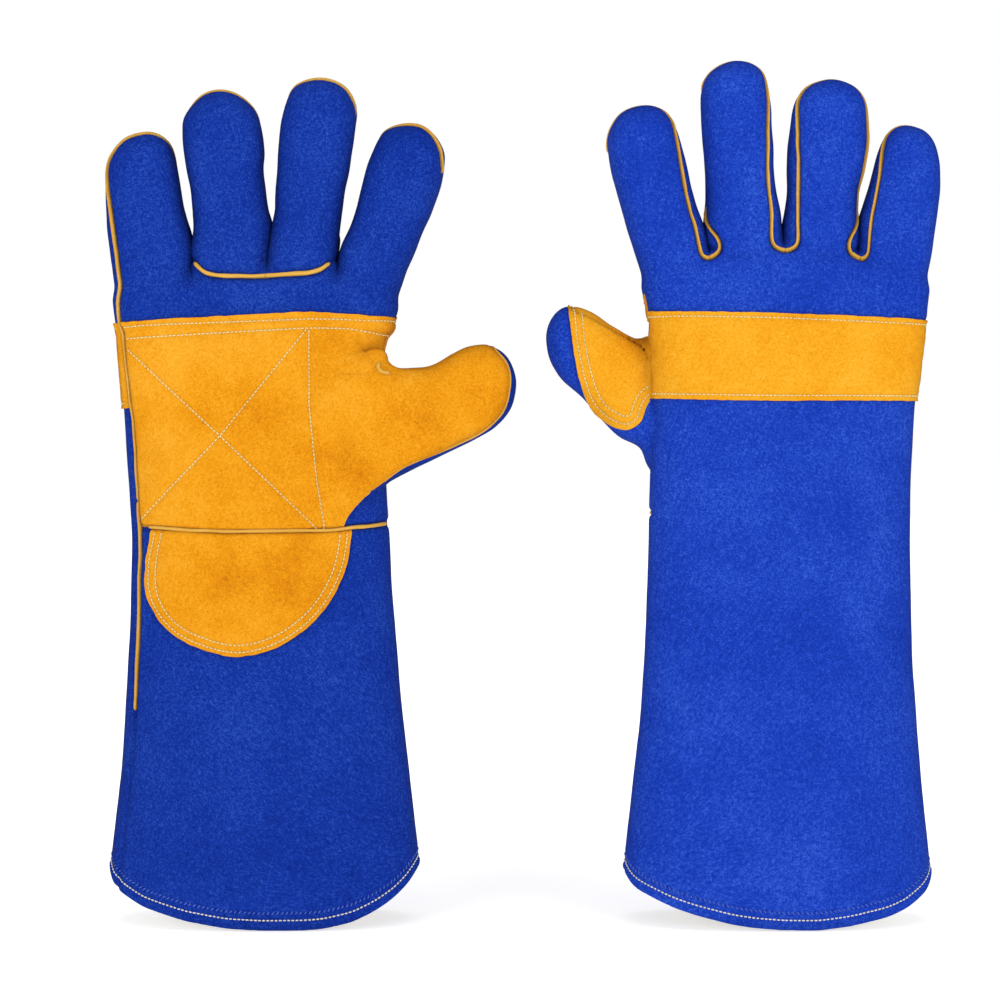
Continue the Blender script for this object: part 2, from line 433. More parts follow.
def nets(fn, lo, hi, h):
    """Surface nets of fn = 0 on the world lattice of pitch h."""
    i0 = np.floor(np.array(lo) / h).astype(int)
    i1 = np.ceil(np.array(hi) / h).astype(int)
    n = i1 - i0 + 1
    xs = (i0[0] + np.arange(n[0])) * h
    ps = (i0[1] + 0.5 + np.arange(n[1])) * h
    zs = (i0[2] + np.arange(n[2])) * h
    X, Z = np.meshgrid(xs, zs, indexing="ij")
    D = np.empty(tuple(n), np.float64)
    for j, p in enumerate(ps):
        D[:, j, :] = fn(X.ravel(), np.full(X.size, p), Z.ravel()).reshape(X.shape)
    S = D < 0
    c = [S[a:a + n[0] - 1, b:b + n[1] - 1, d:d + n[2] - 1] for a in (0, 1) for b in (0, 1) for d in (0, 1)]
    cnt = sum(x.astype(np.int8) for x in c)
    act = (cnt > 0) & (cnt < 8)
    I, J, K = np.nonzero(act)
    acc, m = np.zeros((len(I), 3)), np.zeros(len(I))
    for a, b in EDGES:
        da = D[I + a[0], J + a[1], K + a[2]]
        db = D[I + b[0], J + b[1], K + b[2]]
        x = (da < 0) != (db < 0)
        t = np.where(x, da / np.where(x, da - db, 1), 0)
        q = np.array(a)[None] + t[:, None] * (np.array(b) - np.array(a))[None]
        acc += np.where(x[:, None], q, 0)
        m += x
    V = acc / m[:, None] + np.c_[I, J, K] + i0[None] + np.array([0, 0.5, 0])
    V = V * h
    idx = -np.ones(act.shape, np.int64)
    idx[I, J, K] = np.arange(len(I))
    quads = []
    for ax in range(3):
        sl0 = [slice(None)] * 3
        sl1 = [slice(None)] * 3
        sl0[ax], sl1[ax] = slice(0, -1), slice(1, None)
        x = S[tuple(sl0)] != S[tuple(sl1)]
        A, B, C = np.nonzero(x)
        o = [a for a in range(3) if a != ax]
        P = np.c_[A, B, C]
        ok = (P[:, o[0]] > 0) & (P[:, o[1]] > 0) & (P[:, o[0]] < act.shape[o[0]]) & (P[:, o[1]] < act.shape[o[1]])
        P = P[ok]
        inside = S[tuple(P.T)]
        e0, e1 = np.eye(3, dtype=int)[o[0]], np.eye(3, dtype=int)[o[1]]
        q = [idx[tuple((P - e0 - e1).T)], idx[tuple((P - e1).T)], idx[tuple(P.T)], idx[tuple((P - e0).T)]]
        q = np.stack(q, 1)
        flip = inside if ax == 1 else ~inside
        q[flip] = q[flip][:, ::-1]
        quads.append(q)
    Q = np.vstack(quads)
    Q = Q[(Q >= 0).all(1)]
    d1 = np.linalg.norm(V[Q[:, 0]] - V[Q[:, 2]], axis=1)
    d2 = np.linalg.norm(V[Q[:, 1]] - V[Q[:, 3]], axis=1)
    s = d1 <= d2
    T = np.vstack([Q[s][:, [0, 1, 2]], Q[s][:, [0, 2, 3]], Q[~s][:, [0, 1, 3]], Q[~s][:, [1, 2, 3]]])
    return V, T


def grad(fn, V, e=0.35):
    g = np.empty_like(V)
    for a in range(3):
        A, B = V.copy(), V.copy()
        A[:, a] += e
        B[:, a] -= e
        g[:, a] = (fn(A[:, 0], A[:, 1], A[:, 2]) - fn(B[:, 0], B[:, 1], B[:, 2])) / (2 * e)
    return g


def project(fn, V, times=2):
    for _ in range(times):
        d = fn(V[:, 0], V[:, 1], V[:, 2])
        g = grad(fn, V)
        s = d / np.maximum((g * g).sum(1), 0.05)
        V = V - np.clip(s, -0.6, 0.6)[:, None] * g
    return V


def normals(V, T):
    a, b, c = V[T[:, 0]], V[T[:, 1]], V[T[:, 2]]
    n = np.cross(b - a, c - a)
    n /= np.maximum(np.linalg.norm(n, axis=1, keepdims=True), 1e-12)
    N = np.zeros_like(V)
    for i, (p, q, r) in enumerate(((a, b, c), (b, c, a), (c, a, b))):
        u, v = q - p, r - p
        u /= np.maximum(np.linalg.norm(u, axis=1, keepdims=True), 1e-12)
        v /= np.maximum(np.linalg.norm(v, axis=1, keepdims=True), 1e-12)
        ang = np.arccos(np.clip((u * v).sum(1), -1, 1))
        np.add.at(N, T[:, i], n * ang[:, None])
    return N / np.maximum(np.linalg.norm(N, axis=1, keepdims=True), 1e-12)


def cut(V, T, phi, eps=0.12, drop=False):
    """Insert vertices where phi crosses zero.  drop removes the side where phi > 0."""
    phi = phi.copy()
    phi[np.abs(phi) < eps] = 0.0
    s = np.sign(phi).astype(int)
    S = s[T]
    mixed = (S.max(1) > 0) & (S.min(1) < 0)
    keep = T[~mixed]
    M, MS = T[mixed], S[mixed]
    if len(M):
        ea, eb = [], []
        for a, b in ((0, 1), (1, 2), (2, 0)):
            x = MS[:, a] * MS[:, b] < 0
            ea.append(M[x][:, a]); eb.append(M[x][:, b])
        ea, eb = np.concatenate(ea), np.concatenate(eb)
        lo, hi = np.minimum(ea, eb), np.maximum(ea, eb)
        key = np.unique(lo * (len(V) + 1) + hi)
        lo, hi = key // (len(V) + 1), key % (len(V) + 1)
        t = phi[lo] / (phi[lo] - phi[hi])
        NV = V[lo] * (1 - t)[:, None] + V[hi] * t[:, None]
        base = len(V)

        def mid(a, b):
            k = np.minimum(a, b) * (base + 1) + np.maximum(a, b)
            return base + np.searchsorted(key, k)
        new = []
        zero = (MS == 0).sum(1) == 1
        Z, ZS = M[zero], MS[zero]
        if len(Z):
            zi = np.argmax(ZS == 0, 1)
            r = np.arange(len(Z))
            z, a, b = Z[r, zi], Z[r, (zi + 1) % 3], Z[r, (zi + 2) % 3]
            m = mid(a, b)
            new += [np.c_[z, a, m], np.c_[z, m, b]]
        N, NS = M[~zero], MS[~zero]
        if len(N):
            tot = NS.sum(1)
            lone = np.argmax(NS == -tot[:, None], 1)
            r = np.arange(len(N))
            l, u, v = N[r, lone], N[r, (lone + 1) % 3], N[r, (lone + 2) % 3]
            m1, m2 = mid(l, u), mid(l, v)
            new += [np.c_[l, m1, m2], np.c_[m1, u, v], np.c_[m1, v, m2]]
        V = np.vstack([V, NV])
        phi = np.r_[phi, np.zeros(len(NV))]
        T = np.vstack([keep] + new)
    if drop:
        T = T[~(phi[T].max(1) > 0)]
        V, T, _ = compact(V, T)
    return V, T


def compact(V, T, *extra):
    used = np.unique(T)
    m = -np.ones(len(V), np.int64)
    m[used] = np.arange(len(used))
    return (V[used], m[T], used) + tuple(e[used] for e in extra)


def chains(T, on):
    """Ordered vertex runs along edges whose two ends are both in `on` and that are boundary edges of T."""
    E = np.vstack([T[:, [0, 1]], T[:, [1, 2]], T[:, [2, 0]]])
    key = np.sort(E, 1)
    k = key[:, 0] * (T.max() + 2) + key[:, 1]
    _, first, cnt = np.unique(k, return_index=True, return_counts=True)
    B = E[first[cnt == 1]]
    if on is not None:
        B = B[on[B[:, 0]] & on[B[:, 1]]]
    nxt = {int(a): int(b) for a, b in B}
    prev = {int(b): int(a) for a, b in B}
    runs, seen = [], set()
    starts = [a for a in nxt if a not in prev]
    for a in starts + list(nxt):
        if a in seen:
            continue
        run = [a]
        seen.add(a)
        c = a
        while c in nxt and nxt[c] not in seen:
            c = nxt[c]
            seen.add(c)
            run.append(c)
        closed = c in nxt and nxt[c] == a and len(run) > 2
        if len(run) > 3:
            runs.append((np.array(run), closed))
    return runs


def boundary(T):
    E = np.vstack([T[:, [0, 1]], T[:, [1, 2]], T[:, [2, 0]]])
    key = np.sort(E, 1)
    k = key[:, 0] * (T.max() + 2) + key[:, 1]
    _, first, cnt = np.unique(k, return_index=True, return_counts=True)
    return E[first[cnt == 1]]


# ------------------------------------------------------------------------------- materials
def lin(c):
    return [((v / 255.0) / 12.92 if v / 255.0 <= 0.04045 else ((v / 255.0 + 0.055) / 1.055) ** 2.4) for v in c]


def nodes_of(mat):
    mat.use_nodes = True
    nt = mat.node_tree
    nt.nodes.clear()
    out = nt.nodes.new("ShaderNodeOutputMaterial")
    bsdf = nt.nodes.new("ShaderNodeBsdfPrincipled")
    nt.links.new(bsdf.outputs[0], out.inputs[0])
    return nt, bsdf


def tex(nt, kind, scale, coord, detail=2.0, rough=0.5, **kw):
    n = nt.nodes.new(kind)
    n.inputs["Scale"].default_value = scale
    if "Detail" in n.inputs:
        n.inputs["Detail"].default_value = detail
    if "Roughness" in n.inputs:
        n.inputs["Roughness"].default_value = rough
    for k, v in kw.items():
        setattr(n, k, v)
    nt.links.new(coord, n.inputs["Vector"])
    return n


def math_node(nt, op, a, b, c=None):
    n = nt.nodes.new("ShaderNodeMath")
    n.operation = op
    for i, v in enumerate((a, b, c)):
        if v is None:
            continue
        if hasattr(v, "default_value") or hasattr(v, "is_linked"):
            nt.links.new(v, n.inputs[i])
        else:
            n.inputs[i].default_value = v
    return n.outputs[0]


def suede(name, colour, dark, light, nap=1.0, sheen=0.35, cloud=0.5, speck=0.5):
    """Split leather: a short fuzzy nap with cloudy dye, lighter brushed flecks and darker fibres."""
    m = bpy.data.materials.new(name)
    nt, b = nodes_of(m)
    co = nt.nodes.new("ShaderNodeTexCoord").outputs["Object"]
    fine = tex(nt, "ShaderNodeTexNoise", 1250.0, co, 3.0, 0.65)
    mid = tex(nt, "ShaderNodeTexNoise", 620.0, co, 3.0, 0.6)
    big = tex(nt, "ShaderNodeTexNoise", 34.0, co, 5.0, 0.62)
    wide = tex(nt, "ShaderNodeTexNoise", 11.0, co, 2.0, 0.5)
    # value of the dye: fibre, fleck and cloud summed round one half
    v = math_node(nt, "MULTIPLY_ADD", fine.outputs[0], 0.80 * speck, 0.5 - 0.40 * speck)
    v = math_node(nt, "MULTIPLY_ADD", mid.outputs[0], 0.40 * speck, math_node(nt, "ADD", v, -0.20 * speck))
    v = math_node(nt, "MULTIPLY_ADD", big.outputs[0], 1.5 * cloud, math_node(nt, "ADD", v, -0.75 * cloud))
    v = math_node(nt, "MULTIPLY_ADD", wide.outputs[0], 0.9 * cloud, math_node(nt, "ADD", v, -0.45 * cloud))
    ramp = nt.nodes.new("ShaderNodeValToRGB")
    nt.links.new(v, ramp.inputs[0])
    e = ramp.color_ramp.elements
    e[0].position, e[0].color = 0.12, (*lin(dark), 1)
    e[1].position, e[1].color = 0.90, (*lin(light), 1)
    k = e.new(0.5)
    k.color = (*lin(colour), 1)
    ao = nt.nodes.new("ShaderNodeAmbientOcclusion")
    ao.inputs["Distance"].default_value = 0.012
    ao.samples = 8
    nt.links.new(ramp.outputs[0], ao.inputs["Color"])
    mix = nt.nodes.new("ShaderNodeMix")
    mix.data_type = "RGBA"
    mix.inputs[0].default_value = 0.55
    nt.links.new(ramp.outputs[0], mix.inputs[6])
    nt.links.new(ao.outputs["Color"], mix.inputs[7])
    # the nap looks deeper where it turns away from the eye
    away = nt.nodes.new("ShaderNodeLayerWeight")
    away.inputs["Blend"].default_value = 0.5
    f = math_node(nt, "MULTIPLY", math_node(nt, "POWER", away.outputs["Facing"], 3.0), 0.62)
    deep = nt.nodes.new("ShaderNodeMix")
    deep.data_type = "RGBA"
    nt.links.new(f, deep.inputs[0])
    nt.links.new(mix.outputs[2], deep.inputs[6])
    deep.inputs[7].default_value = (*[0.35 * q for q in lin(dark)], 1)
    nt.links.new(deep.outputs[2], b.inputs["Base Color"])
    r = math_node(nt, "MULTIPLY_ADD", mid.outputs[0], 0.16, 0.80)
    nt.links.new(r, b.inputs["Roughness"])
    b.inputs["Specular IOR Level"].default_value = 0.08
    b.inputs["Sheen Weight"].default_value = sheen
    b.inputs["Sheen Roughness"].default_value = 0.55
    b.inputs["Sheen Tint"].default_value = (*lin(light), 1)
    hgt = math_node(nt, "MULTIPLY_ADD", mid.outputs[0], 1.3, fine.outputs[0])
    bump = nt.nodes.new("ShaderNodeBump")
    bump.inputs["Strength"].default_value = 0.55 * nap
    bump.inputs["Distance"].default_value = 0.00035
    nt.links.new(hgt, bump.inputs["Height"])
    nt.links.new(bump.outputs[0], b.inputs["Normal"])
    return m


def cloth_mat(name, colour, weave):
    """Fleece when weave is False, plain canvas when it is True."""
    m = bpy.data.materials.new(name)
    nt, b = nodes_of(m)
    co = nt.nodes.new("ShaderNodeTexCoord").outputs["Object"]
    n1 = tex(nt, "ShaderNodeTexNoise", 260.0 if not weave else 600.0, co, 4.0, 0.65)
    n2 = tex(nt, "ShaderNodeTexNoise", 40.0, co, 3.0, 0.5)
    v = math_node(nt, "MULTIPLY_ADD", n1.outputs[0], 0.6, math_node(nt, "MULTIPLY", n2.outputs[0], 0.4))
    ramp = nt.nodes.new("ShaderNodeValToRGB")
    nt.links.new(v, ramp.inputs[0])
    ramp.color_ramp.elements[0].position, ramp.color_ramp.elements[1].position = 0.25, 0.75
    ramp.color_ramp.elements[0].color = (*lin([c * 0.82 for c in colour]), 1)
    ramp.color_ramp.elements[1].color = (*lin([min(255, c * 1.04) for c in colour]), 1)
    nt.links.new(ramp.outputs[0], b.inputs["Base Color"])
    b.inputs["Roughness"].default_value = 0.92
    b.inputs["Specular IOR Level"].default_value = 0.1
    b.inputs["Sheen Weight"].default_value = 0.5
    hgt = n1.outputs[0]
    if weave:
        wx = tex(nt, "ShaderNodeTexWave", 320.0, co, 0.0, bands_direction="X")
        wz = tex(nt, "ShaderNodeTexWave", 320.0, co, 0.0, bands_direction="Z")
        hgt = math_node(nt, "MULTIPLY_ADD", wx.outputs[1], 1.0, math_node(nt, "MULTIPLY_ADD", wz.outputs[1], 1.0, n1.outputs[0]))
    bump = nt.nodes.new("ShaderNodeBump")
    bump.inputs["Strength"].default_value = 0.6
    bump.inputs["Distance"].default_value = 0.0006
    nt.links.new(hgt, bump.inputs["Height"])
    nt.links.new(bump.outputs[0], b.inputs["Normal"])
    return m


def thread_mat(name, colour):
    m = bpy.data.materials.new(name)
    nt, b = nodes_of(m)
    co = nt.nodes.new("ShaderNodeTexCoord").outputs["Object"]
    n1 = tex(nt, "ShaderNodeTexNoise", 900.0, co, 3.0, 0.6)
    n2 = tex(nt, "ShaderNodeTexNoise", 55.0, co, 2.0, 0.5)
    v = math_node(nt, "MULTIPLY_ADD", n1.outputs[0], 0.5, math_node(nt, "MULTIPLY", n2.outputs[0], 0.5))
    ramp = nt.nodes.new("ShaderNodeValToRGB")
    nt.links.new(v, ramp.inputs[0])
    ramp.color_ramp.elements[0].position, ramp.color_ramp.elements[1].position = 0.3, 0.7
    ramp.color_ramp.elements[0].color = (*lin([c * 0.86 for c in colour]), 1)
    ramp.color_ramp.elements[1].color = (*lin(colour), 1)
    nt.links.new(ramp.outputs[0], b.inputs["Base Color"])
    b.inputs["Roughness"].default_value = 0.55
    bump = nt.nodes.new("ShaderNodeBump")
    bump.inputs["Strength"].default_value = 0.5
    bump.inputs["Distance"].default_value = 0.0002
    nt.links.new(n1.outputs[0], bump.inputs["Height"])
    nt.links.new(bump.outputs[0], b.inputs["Normal"])
    return m


MAT = dict(
    blue1=suede("blue_split_1", (14, 51, 158), (3, 24, 104), (54, 96, 200), sheen=0.06, cloud=0.20, speck=1.25),
    blue2=suede("blue_split_2", (22, 62, 186), (7, 34, 132), (70, 114, 226), sheen=0.06, cloud=0.20, speck=1.25),
    yellow1=suede("yellow_split_1", (239, 156, 18), (200, 110, 4), (255, 186, 58), sheen=0.05, cloud=0.50, speck=1.1),
    yellow2=suede("yellow_split_2", (247, 169, 28), (218, 130, 8), (255, 198, 74), sheen=0.05, cloud=0.36, speck=1.1),
    welt=suede("welt_strip", (232, 176, 74), (196, 134, 40), (250, 208, 120), nap=0.5, sheen=0.1, cloud=0.3, speck=0.4),
    fleece=cloth_mat("fleece", (226, 218, 200), False),
    canvas=cloth_mat("cotton_canvas", (214, 202, 176), True),
    thread=thread_mat("cream_thread", (252, 236, 168)),
    pale=thread_mat("pale_thread", (250, 245, 230)),
    tonal=thread_mat("blue_thread", (70, 104, 214)),
)


# ------------------------------------------------------------------------------- object making
def make_object(name, V, faces, mat, pal, smooth_n=None):
    """V in (x, p, z) mm.  faces is a list of arrays of equal-length rows."""
    co = np.c_[V[:, 0], V[:, 1] * pal, V[:, 2]] * 0.001
    if pal < 0:
        faces = [f[:, ::-1] for f in faces]
    me = bpy.data.meshes.new(name)
    nv = len(co)
    loops = np.concatenate([f.ravel() for f in faces])
    sizes = np.concatenate([np.full(len(f), f.shape[1]) for f in faces])
    starts = np.r_[0, np.cumsum(sizes)[:-1]]
    me.vertices.add(nv)
    me.vertices.foreach_set("co", co.astype(np.float32).ravel())
    me.loops.add(len(loops))
    me.loops.foreach_set("vertex_index", loops.astype(np.int32))
    me.polygons.add(len(sizes))
    me.polygons.foreach_set("loop_start", starts.astype(np.int32))
    me.polygons.foreach_set("loop_total", sizes.astype(np.int32))
    me.update(calc_edges=True)
    me.validate()
    me.polygons.foreach_set("use_smooth", np.ones(len(me.polygons), bool))
    if smooth_n is not None and len(me.vertices) == nv:
        nn = np.c_[smooth_n[:, 0], smooth_n[:, 1] * pal, smooth_n[:, 2]]
        me.normals_split_custom_set_from_vertices([tuple(v) for v in nn])
    me.materials.append(MAT[mat])
    ob = bpy.data.objects.new(name, me)
    bpy.context.scene.collection.objects.link(ob)
    return ob


def solid(V, N, T, thick, rim=0.0):
    """Close a surface patch into a solid of the given thickness below it, with rounded rims."""
    V, T, _, N = compact(V, T, N)
    n = len(V)
    B = boundary(T)
    bv = np.unique(B)
    tan = np.zeros_like(V)
    d = V[B[:, 1]] - V[B[:, 0]]
    d /= np.maximum(np.linalg.norm(d, axis=1, keepdims=True), 1e-9)
    np.add.at(tan, B[:, 0], d)
    np.add.at(tan, B[:, 1], d)
    tb = tan[bv] / np.maximum(np.linalg.norm(tan[bv], axis=1, keepdims=True), 1e-9)
    out = np.cross(tb, N[bv])
    out /= np.maximum(np.linalg.norm(out, axis=1, keepdims=True), 1e-9)
    rows_v, rows_n = [], []
    for f in ((0.22, 0.8), (0.5, 1.0), (0.78, 0.8)) if rim > 0 else ((0.5, 0.0),):
        rows_v.append(V[bv] - N[bv] * thick * f[0] + out * rim * f[1])
        k = 1 - 2 * f[0]
        rn = N[bv] * k + out * math.sqrt(max(0, 1 - k * k))
        rows_n.append(rn / np.linalg.norm(rn, axis=1, keepdims=True))
    m = -np.ones(n, np.int64)
    m[bv] = np.arange(len(bv))
    VV = np.vstack([V, V - N * thick] + rows_v)
    NN = np.vstack([N, -N] + rows_n)
    quads = []
    levels = [lambda i: i] + [lambda i, r=r: 2 * n + r * len(bv) + m[i] for r in range(len(rows_v))] + [lambda i: i + n]
    for a, b in zip(levels, levels[1:]):
        quads.append(np.c_[b(B[:, 0]), b(B[:, 1]), a(B[:, 1]), a(B[:, 0])])
    return VV, NN, [np.vstack([T, T[:, ::-1] + n]), np.vstack(quads)]


def tube_along(P, N, half_w, half_h, closed, sides=10, taper=(True, True)):
    """A strip with an oval section swept along P; N is the surface normal there."""
    t = np.gradient(P, axis=0) if not closed else np.roll(P, -1, 0) - np.roll(P, 1, 0)
    t /= np.maximum(np.linalg.norm(t, axis=1, keepdims=True), 1e-9)
    B = np.cross(t, N)
    B /= np.maximum(np.linalg.norm(B, axis=1, keepdims=True), 1e-9)
    n = len(P)
    a = 2 * math.pi * np.arange(sides) / sides
    ca = np.sign(np.cos(a)) * np.abs(np.cos(a)) ** 0.7
    sa = np.sign(np.sin(a)) * np.abs(np.sin(a)) ** 0.7
    k = np.ones(n)
    for at_end, i0, i1 in ((taper[0], 0, 1), (taper[1], -1, -2)):
        if at_end and n > 4:
            k[i0], k[i1] = 0.45, 0.85
    hw = np.broadcast_to(np.asarray(half_w, float), (n,))
    V = P[:, None, :] + k[:, None, None] * (B[:, None, :] * (hw[:, None] * ca[None, :])[:, :, None] + N[:, None, :] * (half_h * sa)[None, :, None])
    V = V.reshape(-1, 3)
    i = np.arange(n if closed else n - 1)[:, None]
    j = np.arange(sides)[None, :]
    i2, j2 = (i + 1) % n, (j + 1) % sides
    F = np.stack([np.broadcast_arrays(i * sides + j, i * sides + j2, i2 * sides + j2, i2 * sides + j)[q].ravel() if False else
                  np.broadcast_arrays(i * sides + j, i * sides + j2, i2 * sides + j2, i2 * sides + j)[q].ravel() for q in range(4)], 1)
    faces = [F]
    if not closed:
        V = np.vstack([V, P[:1], P[-1:]])
        c0, c1 = n * sides, n * sides + 1
        jj = np.arange(sides)
        faces.append(np.vstack([np.c_[np.full(sides, c0), (jj + 1) % sides, jj],
                                np.c_[np.full(sides, c1), (n - 1) * sides + jj, (n - 1) * sides + (jj + 1) % sides]]))
    return V, faces


def resample(P, step, closed=False, extra=None):
    Q = np.vstack([P, P[:1]]) if closed else P
    seg = np.linalg.norm(np.diff(Q, axis=0), axis=1)
    s = np.r_[0, np.cumsum(seg)]
    n = max(4, int(round(s[-1] / step)))
    t = np.linspace(0, s[-1], n + 1)
    if closed:
        t = t[:-1]
    return np.c_[[np.interp(t, s, Q[:, a]) for a in range(Q.shape[1])]].T


def soften(P, times, closed=False):
    for _ in range(times):
        Q = P.copy()
        if closed:
            Q = (np.roll(P, 1, 0) + 2 * P + np.roll(P, -1, 0)) / 4
        else:
            Q[1:-1] = (P[:-2] + 2 * P[1:-1] + P[2:]) / 4
        P = Q
    return P


class Builder:
    """Collects mesh parts under one piece name."""
    def __init__(self):
        self.V, self.F, self.n = [], {}, 0

    def add(self, V, faces):
        self.V.append(V)
        for f in faces:
            self.F.setdefault(f.shape[1], []).append(f + self.n)
        self.n += len(V)

    def empty(self):
        return self.n == 0

    def out(self):
        return np.vstack(self.V), [np.vstack(v) for v in self.F.values()]


CAPS_A = 2 * math.pi * np.arange(6) / 6


def stitches(bld, P, N, pitch=1.95, length=1.45, r=0.35, seed=1, lift=0.16, slant=0.0):
    """Small thread capsules along the line P on a surface with normals N."""
    seg = np.linalg.norm(np.diff(P, axis=0), axis=1)
    s = np.r_[0, np.cumsum(seg)]
    count = int(s[-1] / pitch)
    if count < 1:
        return
    rng = np.random.default_rng(seed)
    c = (np.arange(count) + 0.5) * (s[-1] / count) + rng.normal(0, 0.05, count)
    ln = length * (1 + rng.normal(0, 0.06, count))
    at = lambda t: np.c_[[np.interp(t, s, P[:, a]) for a in range(3)]].T
    nt_ = lambda t: np.c_[[np.interp(t, s, N[:, a]) for a in range(3)]].T
    A, B, C, n = at(c - ln / 2), at(c + ln / 2), at(c), nt_(c)
    n /= np.maximum(np.linalg.norm(n, axis=1, keepdims=True), 1e-9)
    t = B - A
    L = np.linalg.norm(t, axis=1, keepdims=True)
    t /= np.maximum(L, 1e-9)
    b = np.cross(t, n)
    b /= np.maximum(np.linalg.norm(b, axis=1, keepdims=True), 1e-9)
    if slant:
        ang = slant + rng.normal(0, 0.05, count)
        t2 = t * np.cos(ang)[:, None] + b * np.sin(ang)[:, None]
        b = np.cross(t2, n)
        t = t2
    rings = [(-0.5, 0.0, -0.30), (-0.47, 0.62, -0.16), (-0.30, 1.0, 0.02), (0.0, 1.06, 0.12), (0.30, 1.0, 0.02), (0.47, 0.62, -0.16), (0.5, 0.0, -0.30)]
    V = []
    for f, k, up in rings:
        cen = C + t * (L * f) + n * (lift + up * 0.8)
        if k == 0:
            V.append(cen[:, None, :])
        else:
            V.append(cen[:, None, :] + k * r * (b[:, None, :] * np.cos(CAPS_A)[None, :, None] + n[:, None, :] * 0.85 * np.sin(CAPS_A)[None, :, None]))
    V = np.concatenate(V, 1)
    per = V.shape[1]
    m = 6
    tri, quad = [], []
    for j in range(m):
        tri.append((0, 1 + (j + 1) % m, 1 + j))
        for q in range(4):
            a = 1 + q * m
            quad.append((a + j, a + (j + 1) % m, a + m + (j + 1) % m, a + m + j))
        a = 1 + 4 * m
        tri.append((a + m, a + j, a + (j + 1) % m))
    tri, quad = np.array(tri), np.array(quad)
    off = (np.arange(count) * per)[:, None, None]
    bld.add(V.reshape(-1, 3), [(tri[None] + off).reshape(-1, 3), (quad[None] + off).reshape(-1, 4)])



def isolines(V, N, T, phi, step=1.0, keep=None, smooth=3):
    """Runs of phi = 0 over the mesh as (points, normals), resampled and split where keep(points0) is false.
    V is (n, 3) or (n, 6): extra columns are carried along (used for the undisturbed position)."""
    s = phi >= 0
    S = s[T]
    c = S.sum(1)
    M = T[(c == 1) | (c == 2)]
    if not len(M):
        return []
    S = s[M]
    r = np.arange(len(M))
    odd_one = np.where(S.sum(1) == 1, True, False)
    lone = np.argmax(S == odd_one[:, None], 1)
    l, u, v = M[r, lone], M[r, (lone + 1) % 3], M[r, (lone + 2) % 3]
    big = len(V) + 1

    def key(a, b):
        return np.minimum(a, b) * big + np.maximum(a, b)
    k1, k2 = key(l, u), key(l, v)
    start = np.where(odd_one, k1, k2)
    end = np.where(odd_one, k2, k1)
    keys = np.unique(np.r_[k1, k2])
    a, b = keys // big, keys % big
    t = (phi[a] / (phi[a] - phi[b]))[:, None]
    P = V[a] * (1 - t) + V[b] * t
    Q = N[a] * (1 - t) + N[b] * t
    si, ei = np.searchsorted(keys, start), np.searchsorted(keys, end)
    nxt = dict(zip(si.tolist(), ei.tolist()))
    has_prev = set(ei.tolist())
    seen, out = set(), []
    heads = [i for i in nxt if i not in has_prev]
    for h in heads + list(nxt):
        if h in seen:
            continue
        run, c = [h], h
        seen.add(h)
        while c in nxt and nxt[c] not in seen:
            c = nxt[c]
            seen.add(c)
            run.append(c)
        closed = c in nxt and nxt[c] == h and len(run) > 3
        if len(run) < 3:
            continue
        X = np.c_[P[run], Q[run]]
        if closed:
            X = np.vstack([X, X[:1]])
        if keep is not None:
            ok = keep(X)
            if not ok.any():
                continue
            if closed and not ok.all():
                i = int(np.argmin(ok))
                X = np.vstack([X[i:-1], X[:i + 1]])
                ok = keep(X)
                closed = False
            cutp = np.flatnonzero(np.diff(ok.astype(int)) != 0) + 1
            parts = [q for q, o in zip(np.split(X, cutp), np.split(ok, cutp)) if o[0]]
        else:
            parts = [X]
        for q in parts:
            seg = np.linalg.norm(np.diff(q[:, :3], axis=0), axis=1).sum() if len(q) > 1 else 0
            if seg < 4 * step:
                continue
            cl = closed and len(parts) == 1 and len(q) == len(X)
            q = resample(q, step)
            q = soften(q, smooth)
            nn = q[:, -3:] / np.maximum(np.linalg.norm(q[:, -3:], axis=1, keepdims=True), 1e-9)
            out.append((q[:, :3], nn, cl, q[:, 3:-3]))
    return out


PIECES = []


def place(ob, how, node=None, slot=None):
    """how is a body name, or (body a, body b, start, end) for a piece that bends between two bodies."""
    PIECES.append((ob, how, node, slot))
    return ob


